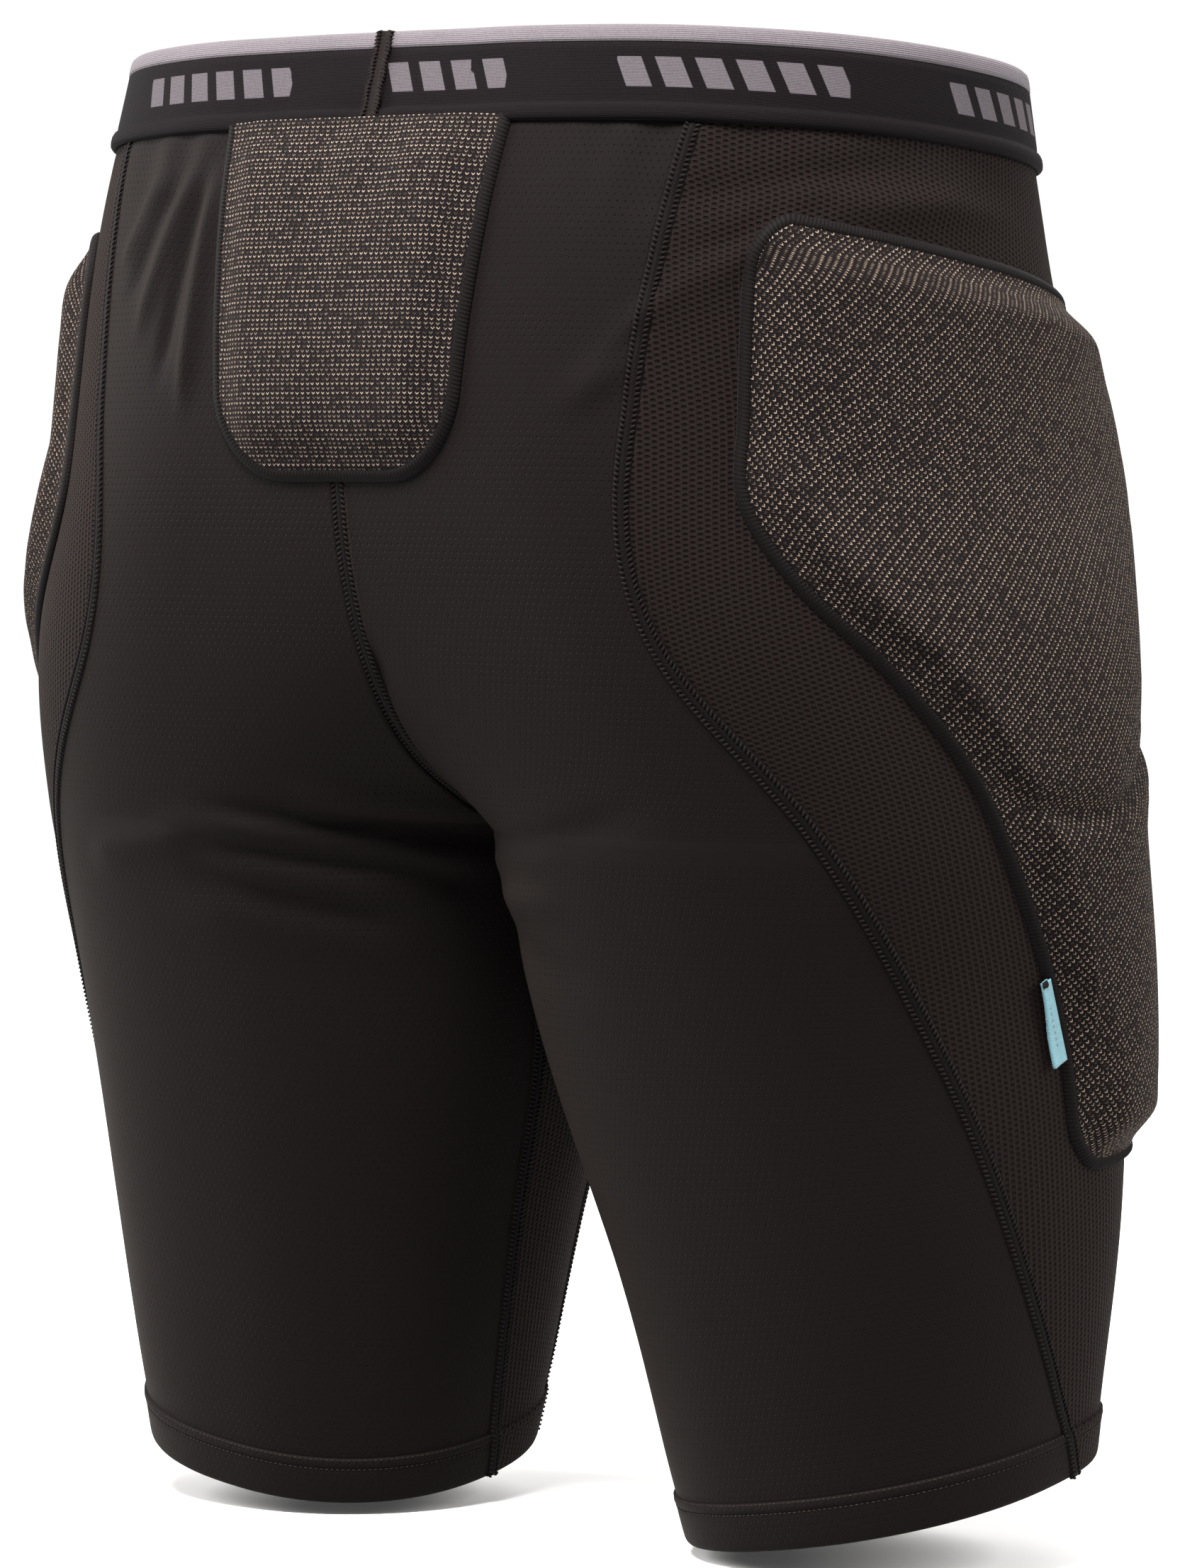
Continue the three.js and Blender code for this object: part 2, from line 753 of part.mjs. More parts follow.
function addWaistband() {
  const stripeLow = shortsHeight - stripeHeight;
  addRing("waistband_elastic", "band", [
    [bandLow, bandLipProud, -bandInset],
    [bandLow + bandLipHeight, bandLipProud, -bandInset],
    [bandLow + bandLipHeight + 1, bandProud, -bandInset],
    [stripeLow - pieceGap, bandProud, -bandInset],
  ], 22);
  addRing("waistband_stripe", "stripe", [
    [stripeLow, bandProud, -bandInset],
    [shortsHeight, bandProud, -bandInset],
  ], 22);
  const rows = 4;
  const place = (i, j, outer) => {
    const h = lerp(bandLow + bandLipHeight + 2, shortsHeight - 1.5, j / rows);
    const x = 1.5 + ((i / 2) - 0.5) * joinWidth;
    const low = bandProud + pieceGap;
    return seatBack(x, h, outer ? low + joinThickness : low);
  };
  addLayer("waistband_join_seam", "thread", 2, rows, place, 1, false);
}

// ---- loop label ----
function addLabel() {
  const at = (height) => {
    const angle = padEdgeAngle(height, false, 0);
    return surface(angle, height);
  };
  const angle = padEdgeAngle(labelHeight, false, 0);
  const normal = outward(angle, labelHeight);
  const tangent = at(labelHeight - 8).sub(at(labelHeight + 8)).normalize();
  const inside = normal.clone().cross(tangent).normalize();
  const start = pieceGap * 2 + bindingWidth + 0.8;
  const place = (i, j, outer) => {
    const p = surface(angle, labelHeight);
    p.addScaledVector(tangent, (i / 4 - 0.5) * labelLength);
    p.addScaledVector(inside, -start - labelWidth * (1 - j));
    return p.addScaledVector(normal, outer ? layerGap + 0.5 + labelThickness : layerGap + 0.5);
  };
  addLayer("loop_label", "label", 4, 1, place, 1, false);
}

addWaistband();
addTailPad();
addCentreSeams();
addSide("right_", 1);
addSide("left_", -1);
addLabel();

export default group;
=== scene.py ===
"""Looks for the padded impact shorts: fabric, pads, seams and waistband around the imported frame."""
import math
import bmesh
import bpy
import numpy as np
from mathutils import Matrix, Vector


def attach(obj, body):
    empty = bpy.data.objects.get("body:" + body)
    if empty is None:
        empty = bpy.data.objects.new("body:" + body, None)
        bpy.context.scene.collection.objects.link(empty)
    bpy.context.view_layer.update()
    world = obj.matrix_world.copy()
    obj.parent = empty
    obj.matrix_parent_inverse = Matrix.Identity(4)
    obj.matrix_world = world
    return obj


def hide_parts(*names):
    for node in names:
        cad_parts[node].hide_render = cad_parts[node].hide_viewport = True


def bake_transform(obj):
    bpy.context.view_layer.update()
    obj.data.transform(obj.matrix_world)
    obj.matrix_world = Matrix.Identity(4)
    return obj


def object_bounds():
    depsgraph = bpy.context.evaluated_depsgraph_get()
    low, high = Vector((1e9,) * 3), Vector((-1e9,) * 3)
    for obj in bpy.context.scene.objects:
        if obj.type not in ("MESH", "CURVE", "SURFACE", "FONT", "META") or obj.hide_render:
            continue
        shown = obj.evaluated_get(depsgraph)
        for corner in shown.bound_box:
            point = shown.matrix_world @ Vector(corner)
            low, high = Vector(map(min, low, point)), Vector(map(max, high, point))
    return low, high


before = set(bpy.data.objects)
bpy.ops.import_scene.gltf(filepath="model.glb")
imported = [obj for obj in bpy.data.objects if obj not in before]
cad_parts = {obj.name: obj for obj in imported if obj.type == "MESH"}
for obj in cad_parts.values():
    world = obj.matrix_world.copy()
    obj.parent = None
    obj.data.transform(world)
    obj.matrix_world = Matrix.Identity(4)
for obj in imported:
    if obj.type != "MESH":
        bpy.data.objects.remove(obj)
cad_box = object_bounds()
MM = 0.001

# ------------------------------------------------------------------ body surface, as in the CAD, mm
HEIGHT, CROTCH = 475.0, 225.0
# the rings are ovals of this power
ROUND = 2.25
# share of the height, then the ring's centre to the side, its outer reach, half depth and place forward
SECTIONS = np.array([
    [0.0, 116, 69, 63, 16], [0.18, 108, 88, 75, 12], [0.36, 98, 101, 89, 4], [0.48, 91, 110, 96, -7],
    [0.6, 79, 116, 110, -9], [0.72, 60, 118, 125, -2], [0.86, 48, 122, 113, -7], [1.0, 37, 127, 96, -5]])
# each row below: a share of the height, the leg or the part above the crotch, and a gap, pinch or angle there
LEG_GAP = np.array([[0.0, 54], [0.38, 32], [0.76, 3.5], [1.0, 0.4]])
PINCH = np.array([[0.0, 1.0], [0.12, 0.64], [0.32, 0.25], [0.6, 0.12], [1.0, 0.02]])
BELLY = np.array([[0.0, 0.0], [0.5, 0.0], [0.6, 0.03], [0.72, 0.15], [0.86, 0.07], [1.0, 0.0]])
BACK_SEAM = np.array([[0.0, 0.13], [0.16, -0.29], [0.32, -0.59], [0.48, -0.92], [0.6, -1.24], [0.76, -1.12],
                      [0.94, -0.94]])
FRONT_SEAM = np.array([[0.0, 0.85], [0.16, 0.92], [0.32, 1.0], [0.6, 1.14], [0.94, 1.1]])
INNER_BACK = np.array([[0.0, -3.155], [0.42, -3.05], [1.0, -2.9]])
INNER_FRONT = np.array([[0.0, 2.35], [0.42, 2.6], [1.0, 2.9]])
PAD_BACK = np.array([[0.0, 0.0], [0.19, -0.07], [0.36, -0.205], [0.46, -0.323], [0.57, -0.538],
                     [0.665, -0.76], [0.74, -0.84], [0.82, -0.8], [1.0, -0.75]])
PAD_FRONT = np.array([[0.0, 0.78], [0.36, 0.74], [0.57, 0.75], [0.82, 0.76], [1.0, 0.74]])
BAND_LOW = 445.0
PANEL_TOP = 444.7
PAD_LOW, PAD_TOP, PAD_SLOPE = 110.0, 406.0, 11.0
PAD_EDGE, PAD_RISE, PAD_SHOULDER, PAD_CORNER = 2.3, 8.2, 16.0, 16.0
TAIL_LOW, TAIL_TOP_HALF, TAIL_LOW_HALF, TAIL_CORNER, TAIL_RISE = 338.0, 56.0, 46.0, 24.0, 5.6
HIP_Y, HIP_H, FOLD_R = -5.0, 313.0, 80.0


def unit(v):
    return v / (np.linalg.norm(v, axis=-1, keepdims=True) + 1e-12)


def lengths(p):
    """Distance along a line of points, from its first."""
    return np.concatenate([[0], np.cumsum(np.linalg.norm(np.diff(p, axis=0), axis=-1))])


def facing(left):
    """Turns points of the right half into those of the asked half."""
    return np.array([-1 if left else 1, 1, 1])


def through(rows, column, at):
    """Smooth curve through stations, the same as the CAD's."""
    x, v = rows[:, 0], rows[:, column]
    t = np.clip(at, x[0], x[-1])
    d = np.diff(v) / np.diff(x)
    h = np.diff(x)
    m = np.empty(len(x))
    m[0], m[-1] = d[0], d[-1]
    m[1:-1] = (d[:-1] * h[1:] + d[1:] * h[:-1]) / (h[:-1] + h[1:])
    i = np.clip(np.searchsorted(x, t, side="right") - 1, 0, len(x) - 2)
    s = (t - x[i]) / h[i]
    s2, s3 = s * s, s * s * s
    return ((2 * s3 - 3 * s2 + 1) * v[i] + (s3 - 2 * s2 + s) * h[i] * m[i]
            + (3 * s2 - 2 * s3) * v[i + 1] + (s3 - s2) * h[i] * m[i + 1])


def smooth(t):
    t = np.clip(t, 0, 1)
    return t * t * (3 - 2 * t)


def oval(h):
    """The ring at a height: centre, outer and inner reach, half depth, place forward, last angle, pinch."""
    share = h / HEIGHT
    centre, outer, depth, forward = (through(SECTIONS, k, share) for k in (1, 2, 3, 4))
    q = np.clip(through(PINCH, 1, np.maximum((h - CROTCH) / (HEIGHT - CROTCH), 0)), 0.02, 1)
    low = h < CROTCH
    inner = np.where(low, centre - through(LEG_GAP, 1, h / CROTCH), centre / q)
    end = np.where(low, math.pi, np.arccos(-np.power(q, ROUND / 2)))
    return centre, outer, inner, depth, forward, end, q


def power(v):
    """Turns a circle's cosine or sine into the oval's."""
    return np.sign(v) * np.abs(v) ** (2 / ROUND)


def flat_at(h):
    """How much the belly is flattened at a height."""
    return np.maximum(through(BELLY, 1, h / HEIGHT), 0) * smooth((h - CROTCH) / 40)


def tilt(h, y, x):
    """How far a ring leans out of level: down to the front at the waist, up to it at the hem."""
    up = smooth((h - HEIGHT / 2) / (HEIGHT / 2))
    down = 1 - smooth(h / (HEIGHT / 2))
    return up * -0.088 * y + down * (0.17 * y + 0.146 * x)


def surface(a, h):
    """Points of the outer fabric surface of the right half: angle round the leg, height above the hem."""
    a, h = np.broadcast_arrays(np.asarray(a, float), np.asarray(h, float))
    centre, outer, inner, depth, forward, _, _ = oval(h)
    c = np.cos(a)
    x = centre + np.where(c >= 0, outer, inner) * power(c)
    y = forward + depth * (1 - flat_at(h) * smooth((a - 0.65) / 0.8)) * power(np.sin(a))
    return np.stack([x, y, h + tilt(h, y, x - centre) - HEIGHT], -1)


def normal(a, h):
    a, h = np.broadcast_arrays(np.asarray(a, float), np.asarray(h, float))
    k = np.clip(h, 0.5, HEIGHT - 0.5)
    across = surface(a + 0.01, k) - surface(a - 0.01, k)
    return unit(np.cross(across, surface(a, k + 0.5) - surface(a, k - 0.5)))


def along(a, h, d):
    """The angle d mm further round the ring."""
    speed = np.linalg.norm(surface(a + 0.01, h) - surface(a - 0.01, h), axis=-1) / 0.02
    return a + d / speed


def angle_at_x(h, x, back):
    """The angle where the back or front of a ring is x mm from the middle line."""
    centre, outer, inner, *_ = oval(h)
    reach = (x - centre) / np.where(x < centre, inner, outer)
    c = np.sign(reach) * np.minimum(np.abs(reach), 1) ** (ROUND / 2)
    return (-1 if back else 1) * np.arccos(c)


# ------------------------------------------------------------------ wrinkles, mm along the normal
def ridge(p, a, b, width, amp):
    """A soft fold from point a to point b (mm), dying out at both ends."""
    a, b = np.array(a, float), np.array(b, float)
    d = b - a
    flat = math.hypot(d[0], d[1])
    if flat > abs(d[2]):
        t = ((p[..., :2] - a[:2]) @ d[:2]) / flat ** 2
        r = (p[..., 2] - a[2] - d[2] * t) * flat / math.hypot(flat, d[2])
    else:
        t = (p[..., 2] - a[2]) / d[2]
        r = (p[..., 0] - a[0] - d[0] * t) * abs(d[2]) / math.hypot(flat, d[2])
    near = np.linalg.norm(p - a - d * np.clip(t, 0, 1)[..., None], axis=-1)
    fade = smooth((t + 0.25) / 0.4) * smooth((1.25 - t) / 0.4) * smooth((52 - near) / 20)
    # steeper on its upper side than below, as cloth that hangs over
    r = r / width
    return amp * np.exp(-np.where(r > 0, 1.5, 0.8) * r * r) * fade


# from, to, width, height: right leg's folds as seen from behind and the side
FOLDS_RIGHT = [
    ((100, -114, -108), (138, -94, -64), 6.0, 1.7), ((106, -112, -96), (142, -90, -58), 4.5, -1.6),
    ((112, -108, -84), (150, -84, -54), 4.5, 1.6), ((130, -98, -62), (158, -76, -50), 4.0, -1.4),
    ((140, -90, -58), (180, -30, -46), 7.0, 1.6), ((120, -100, -46), (168, -50, -36), 5.0, -1.1),
    ((150, -78, -46), (182, -6, -50), 5.0, 1.2),
    ((18, -60, -262), (64, -95, -256), 5.0, 1.5), ((30, -74, -262), (98, -100, -244), 6.0, -1.1),
    ((14, -56, -272), (58, -90, -272), 5.5, 1.3), ((16, -60, -284), (62, -92, -296), 7.0, -0.9),
    ((6, -62, -214), (30, -92, -196), 7.0, -1.2),
]
FOLDS_LEFT = [
    ((7, -40, -247), (36, -94, -240), 4.5, 1.9), ((9, -44, -255), (66, -99, -246), 4.5, -2.0),
    ((11, -50, -261), (80, -100, -250), 5.0, 2.1), ((14, -56, -268), (76, -99, -258), 4.5, -1.9),
    ((16, -60, -275), (70, -98, -264), 5.0, 1.9), ((28, -82, -282), (84, -97, -268), 5.0, -1.5),
    ((20, -72, -292), (90, -94, -280), 7.0, 1.2), ((90, -97, -254), (130, -82, -262), 6.0, 1.3),
    ((62, -98, -42), (67, -118, -104), 3.6, 2.2), ((69, -98, -40), (78, -116, -96), 3.4, -2.0),
    ((76, -98, -40), (90, -112, -82), 3.6, 2.1), ((84, -96, -40), (98, -106, -72), 3.2, -1.7),
    ((93, -94, -40), (104, -100, -62), 3.2, 1.5), ((150, -70, -60), (184, -6, -50), 7.0, 1.4),
]


def wrinkle(p, h, left):
    """How far the cloth lies off the body surface; p is on the right half, and the left is its mirror."""
    w = np.zeros(p.shape[:-1])
    for a, b, width, amp in (FOLDS_LEFT if left else FOLDS_RIGHT):
        w += ridge(p, a, b, width, amp)
    x, y, z = p[..., 0], p[..., 1], p[..., 2]
    k = 1.7 if left else 0.4
    w += 0.35 * np.sin(x / 31 + k) * np.sin(z / 43 + y / 37 + k) + 0.2 * np.sin(y / 19 - z / 23 + 2 * k)
    # gathers just under the waistband
    gather = np.sin(x / 4.3 + 1.4 * np.sin(x / 17 + k) + k) * np.sin(x / 29 + k)
    w += 0.8 * gather * smooth((h - 405) / 30) * smooth((450 - h) / 8)
    # nothing moves at the very edges of the band and the hem
    return w * smooth((h - 10) / 26) * smooth((447 - h) / 6)


def cloth(a, h, off, left):
    """A point of the worn fabric: the body surface with its wrinkles, off mm above it."""
    p, n = surface(a, h), normal(a, h)
    return (p + n * (wrinkle(p, h, left) + off)[..., None]) * facing(left)


# ------------------------------------------------------------------ mesh helpers
def outward(me, weld=False):
    """Every closed skin of the mesh faces away from its own inside; weld joins points that coincide."""
    bm = bmesh.new()
    bm.from_mesh(me)
    if weld:
        bmesh.ops.remove_doubles(bm, verts=bm.verts, dist=1e-6)
    bmesh.ops.recalc_face_normals(bm, faces=bm.faces)
    bm.to_mesh(me)
    bm.free()


def make_mesh(name, verts, faces, uvs):
    me = bpy.data.meshes.new(name)
    me.from_pydata((np.asarray(verts) * MM).tolist(), [], faces)
    layer = me.uv_layers.new(name="UVMap")
    idx = np.empty(len(me.loops), int)
    me.loops.foreach_get("vertex_index", idx)
    layer.data.foreach_set("uv", np.asarray(uvs)[idx].astype(np.float32).ravel())
    outward(me)
    me.polygons.foreach_set("use_smooth", [True] * len(me.polygons))
    me.update()
    ob = bpy.data.objects.new(name, me)
    bpy.context.scene.collection.objects.link(ob)
    return ob


def shell_part(outer, inner, uv):
    """Closed skin between two grids of shape (nv, nu, 3), as a part for join_parts."""
    nv, nu = outer.shape[:2]
    n = nu * nv
    at = np.arange(n).reshape(nv, nu)
    face = np.stack([at[:-1, :-1], at[:-1, 1:], at[1:, 1:], at[1:, :-1]], -1).reshape(-1, 4)
    faces = [face, face[:, ::-1] + n]
    for rim in (at[0], at[-1, ::-1], at[::-1, 0], at[:, -1]):
        faces.append(np.stack([rim[:-1], rim[:-1] + n, rim[1:] + n, rim[1:]], -1))
    verts = np.concatenate([outer.reshape(-1, 3), inner.reshape(-1, 3)])
    return verts, [np.concatenate(faces)], np.tile(uv.reshape(-1, 2), (2, 1)), 0


def ring_quads(n, m, closed):
    """Faces of a tube with m points round each of n stations; closed joins the last station to the first."""
    i, j = np.meshgrid(np.arange(m), np.arange(n if closed else n - 1), indexing="xy")
    side, on = (i + 1) % m, (j + 1) % n
    return np.stack([j * m + i, j * m + side, on * m + side, on * m + i], -1).reshape(-1, 4)


def end_caps(n, m):
    return np.stack([np.arange(m)[::-1], np.arange(m) + (n - 1) * m])


def tube_part(rings, uv, closed=False):
    """A tube of shape (n, m, 3), with both ends capped unless it is closed, as a part for join_parts."""
    n, m = rings.shape[:2]
    caps = [] if closed else [end_caps(n, m)]
    return rings.reshape(-1, 3), [ring_quads(n, m, closed), *caps], uv.reshape(-1, 2), 0


def join_parts(name, parts):
    """One object of several parts, each of them points, groups of faces, UVs and a material's place."""
    verts, faces, uv, slots, start = [], [], [], [], 0
    for v, groups, u, slot in parts:
        verts.append(v)
        uv.append(u)
        for g in groups:
            faces.extend((np.asarray(g) + start).tolist())
            slots.extend([slot] * len(g))
        start += len(v)
    ob = make_mesh(name, np.concatenate(verts), faces, np.concatenate(uv))
    ob.data.polygons.foreach_set("material_index", np.array(slots, np.int32))
    return ob


def shell(name, outer, inner, uv):
    return join_parts(name, [shell_part(outer, inner, uv)])


def grid_uv(g):
    """Lengths across and up a grid, in metres, centred on its middle column."""
    nv, nu = g.shape[:2]
    du = np.linalg.norm(np.diff(g, axis=1), axis=-1)
    u = np.concatenate([np.zeros((nv, 1)), np.cumsum(du, 1)], 1)
    u = u - u[:, nu // 2:nu // 2 + 1]
    return np.stack(np.broadcast_arrays(u, lengths(g[:, nu // 2])[:, None]), -1) * MM


def grid_normals(g):
    return unit(np.cross(np.gradient(g, axis=1), np.gradient(g, axis=0)))


def evenly(a0, a1, h, count):
    """Angles that divide each row evenly between two limits."""
    near = 0.5 * np.linspace(0, 1, 60) ** 3
    t = np.unique(np.concatenate([np.linspace(0, 1, 801), near, 1 - near]))
    a = a0[:, None] + (a1 - a0)[:, None] * t
    p = surface(a, h[:, None])
    out = np.empty((len(h), count + 1))
    for k in range(len(h)):
        s = lengths(p[k])
        out[k] = np.interp(np.linspace(0, s[-1], count + 1), s, a[k])
    return out


def round_ring(h, count):
    """Angles that divide one leg's ring evenly at one height, without the doubled last one."""
    return evenly(np.array([-math.pi]), np.array([math.pi]), np.array([h]), count)[0][:-1]


def frame_along(p, n):
    t = unit(np.gradient(p, axis=0))
    return t, unit(np.cross(t, n))


def resample(p, step):
    """Points about step mm apart along a line; columns after the third are carried along."""
    d = lengths(p[:, :3])
    s = np.linspace(0, d[-1], max(int(d[-1] / step), 4) + 1)
    return np.stack([np.interp(s, d, p[:, k]) for k in range(p.shape[1])], -1)


# a bead's stations: place along its half length, and thickness
BEAD = ((-1.0, 0.25), (-0.45, 0.95), (0.45, 0.95), (1.0, 0.25))
BEAD_SIDES = 6


def stitches(points, along_dir, across_dir, up_dir, half, size, lift, uv, slot=0, spread=0.0):
    """Small loops of thread, one flattened bead across the line at each point, as a part for join_parts."""
    m = BEAD_SIDES
    turn = np.linspace(0, 2 * math.pi, m, endpoint=False)
    stations = []
    for t, r in BEAD:
        centre = points + across_dir * (half * t) + up_dir * (lift * (1 - 0.55 * t * t))
        r = r * size
        ring = [centre + along_dir * (r * math.cos(w)) + up_dir * (0.8 * r * math.sin(w)) for w in turn]
        stations.append(np.stack(ring, 1))
    rings = np.stack(stations, 1)
    n, k = rings.shape[:2]
    first = (np.arange(n) * k * m)[:, None, None]
    faces = (first + ring_quads(k, m, False)).reshape(-1, 4)
    caps = (first + end_caps(k, m)).reshape(-1, m)
    within = np.stack([np.tile(np.arange(m), k), np.repeat(np.arange(k), m)], -1) * spread
    return rings.reshape(-1, 3), [faces, caps], (uv[:, None] + within).reshape(-1, 2) * MM, slot


def rows_of(along, value):
    """UV in mm: lengths along a piece with a value across it, spread over a grid where their shapes ask."""
    return np.stack(np.broadcast_arrays(along, value), -1).astype(float)


SIDES = (("right_", False), ("left_", True))
FOLD_START = (0.0, -0.007, -0.250)
FOLD_LENGTH, FOLD_LEAN = 0.14, math.radians(35)


def bend(ob, prefix):
    """Bakes the object's place into its mesh; the fold at the top of the thigh is worked out here, but the
    fabric is not turned.
    """
    s = 1 if prefix == "right_" else -1
    x, y, z = FOLD_START
    end = (s * math.sin(FOLD_LEAN) * FOLD_LENGTH, y, z - math.cos(FOLD_LEAN) * FOLD_LENGTH)
    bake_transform(ob)


# ------------------------------------------------------------------ materials
def put(tree, socket, value):
    """Links a Value to a socket, or sets a plain number or colour on it."""
    if isinstance(value, Value):
        tree.links.new(value.socket, socket)
    else:
        socket.default_value = value


class Value:
    """A number or colour in a material's nodes; arithmetic on it adds nodes."""

    def __init__(self, tree, socket):
        self.tree = tree
        self.socket = socket

    def node(self, operation, a, b=0.0):
        n = self.tree.nodes.new("ShaderNodeMath")
        n.operation = operation
        put(self.tree, n.inputs[0], a)
        put(self.tree, n.inputs[1], b)
        return Value(self.tree, n.outputs[0])

    def __add__(self, other):
        return self.node("ADD", self, other)

    def __sub__(self, other):
        return self.node("SUBTRACT", self, other)

    def __rsub__(self, other):
        return self.node("SUBTRACT", other, self)

    def __mul__(self, other):
        return self.node("MULTIPLY", self, other)

    def __truediv__(self, other):
        return self.node("DIVIDE", self, other)

    def __mod__(self, other):
        return self.node("MODULO", self, other)

    def __abs__(self):
        return self.node("ABSOLUTE", self)

    def floor(self):
        return self.node("FLOOR", self)

    def fract(self):
        return self.node("FRACT", self)

    def sine(self):
        return self.node("SINE", self)

    def root(self):
        return self.node("SQRT", self)

    def least(self, other):
        return self.node("MINIMUM", self, other)

    def above(self, other):
        return self.node("GREATER_THAN", self, other)

    def in_cell(self, size):
        """Distance from the middle of the cell, where the cells are one unit and size mm wide."""
        return (self.fract() - 0.5) * size

    def fall(self, low, high):
        """1 below low, 0 above high, smooth between."""
        n = self.tree.nodes.new("ShaderNodeMapRange")
        n.interpolation_type = "SMOOTHSTEP"
        put(self.tree, n.inputs["Value"], self)
        for key, value in (("From Min", low), ("From Max", high), ("To Min", 1.0), ("To Max", 0.0)):
            n.inputs[key].default_value = value
        return Value(self.tree, n.outputs[0])


class Shader:
    """A material that knows the millimetres along its piece (u) and up it (v)."""

    def __init__(self, name):
        self.mat = bpy.data.materials.new(name)
        self.mat.use_nodes = True
        self.tree = self.mat.node_tree
        uv = self.tree.nodes.new("ShaderNodeUVMap")
        uv.uv_map = "UVMap"
        split = self.tree.nodes.new("ShaderNodeSeparateXYZ")
        self.tree.links.new(uv.outputs[0], split.inputs[0])
        self.u = Value(self.tree, split.outputs[0]) * 1000
        self.v = Value(self.tree, split.outputs[1]) * 1000
        self.place = self.tree.nodes.new("ShaderNodeTexCoord").outputs["Object"]

    def noise(self, scale, detail):
        n = self.tree.nodes.new("ShaderNodeTexNoise")
        n.inputs["Scale"].default_value = scale
        n.inputs["Detail"].default_value = detail
        self.tree.links.new(self.place, n.inputs["Vector"])
        return Value(self.tree, n.outputs[0])

    def chance(self, a, b):
        """A steady random number for each pair of whole numbers."""
        pair = self.tree.nodes.new("ShaderNodeCombineXYZ")
        put(self.tree, pair.inputs[0], a)
        put(self.tree, pair.inputs[1], b)
        n = self.tree.nodes.new("ShaderNodeTexWhiteNoise")
        n.noise_dimensions = "3D"
        self.tree.links.new(pair.outputs[0], n.inputs["Vector"])
        return Value(self.tree, n.outputs["Value"])

    def mix(self, share, a, b):
        n = self.tree.nodes.new("ShaderNodeMix")
        n.data_type = "RGBA"
        put(self.tree, n.inputs[0], share)
        for k, value in ((6, a), (7, b)):
            put(self.tree, n.inputs[k], value if isinstance(value, Value) else (*value, 1.0))
        return Value(self.tree, n.outputs[2])

    def tones(self, share, colour, dark, light):
        """The colour from dark to light times itself, by share."""
        return self.mix(share, tuple(c * dark for c in colour), tuple(c * light for c in colour))

    def finish(self, colour, height, depth, rough, sheen, tint, specular):
        """Depth is the height of the relief, mm."""
        bsdf = self.tree.nodes["Principled BSDF"]
        put(self.tree, bsdf.inputs["Base Color"], colour)
        put(self.tree, bsdf.inputs["Roughness"], rough)
        bsdf.inputs["Sheen Weight"].default_value = sheen
        bsdf.inputs["Sheen Roughness"].default_value = 0.45
        bsdf.inputs["Sheen Tint"].default_value = (*tint, 1.0)
        bsdf.inputs["Specular IOR Level"].default_value = specular
        bump = self.tree.nodes.new("ShaderNodeBump")
        bump.inputs["Strength"].default_value = 1.0
        bump.inputs["Distance"].default_value = depth * MM
        put(self.tree, bump.inputs["Height"], height)
        self.tree.links.new(bump.outputs[0], bsdf.inputs["Normal"])
        return self.mat


WARM = (1.0, 0.78, 0.66)
COOL = (0.92, 0.9, 0.95)
PALE_BLUE = (0.8, 0.95, 1.0)
# sheen that all the matt fabrics share
MATT = 0.008


def knit_material():
    """Smooth close jersey with a staggered grid of pin eyelets, their holes darkened with painted shade."""
    s = Shader("mat_smooth_knit")
    base = (0.0021, 0.00155, 0.0015)
    across, up = 2.6, 2.3
    shift = abs((s.v / up).floor()) % 2 * 0.5
    fu = (s.u / across + shift).in_cell(across)
    fv = (s.v / up).in_cell(up)
    hole = (fu * fu + fv * fv * 0.6).root().fall(0.16, 0.42)
    loops = (s.u * 12.1).sine() * (s.v * 9.4).sine()
    fuzz, cloud = s.noise(900, 3), s.noise(9, 2)
    cloth_tone = s.tones(loops * 0.10 + fuzz * 0.5 + cloud * 0.35, base, 0.62, 1.5)
    # the eyelets are mixed towards a darker colour: painted shade inside the holes
    colour = s.mix(hole * 0.75, cloth_tone, (0.0015, 0.0014, 0.0014))
    height = loops * 0.10 + fuzz * 0.30 - hole
    return s.finish(colour, height, 0.24, cloud * 0.14 + 0.60, MATT, WARM, 0.02)


def waffle_material():
    """Open mesh: columns of oval cells, each column half a cell off its neighbours; the open cells are
    darkened with painted shade.
    """
    s = Shader("mat_waffle_mesh")
    base = (0.0039, 0.0027, 0.0025)
    across, up = 2.4, 1.8
    shift = abs((s.u / across).floor()) % 2 * 0.5
    fu = (s.u / across).in_cell(across)
    fv = (s.v / up + shift).in_cell(up)
    au, av = fu / 0.95, fv / 0.62
    cell = (au * au + av * av).root().fall(0.45, 1.15)
    rib = abs(fu).fall(0.75, 1.2)
    fuzz, cloud = s.noise(1100, 2), s.noise(11, 2)
    cloth_tone = s.tones(fuzz * 0.45 + cloud * 0.45, base, 0.65, 1.5)
    # the open cells are mixed towards a much darker colour: painted shade inside the holes
    colour = s.mix(cell * 0.72, cloth_tone, tuple(c * 0.16 for c in base))
    height = fuzz * 0.16 - rib * 0.25 - cell
    return s.finish(colour, height, 0.5, cloud * 0.12 + 0.68, MATT, WARM, 0.015)


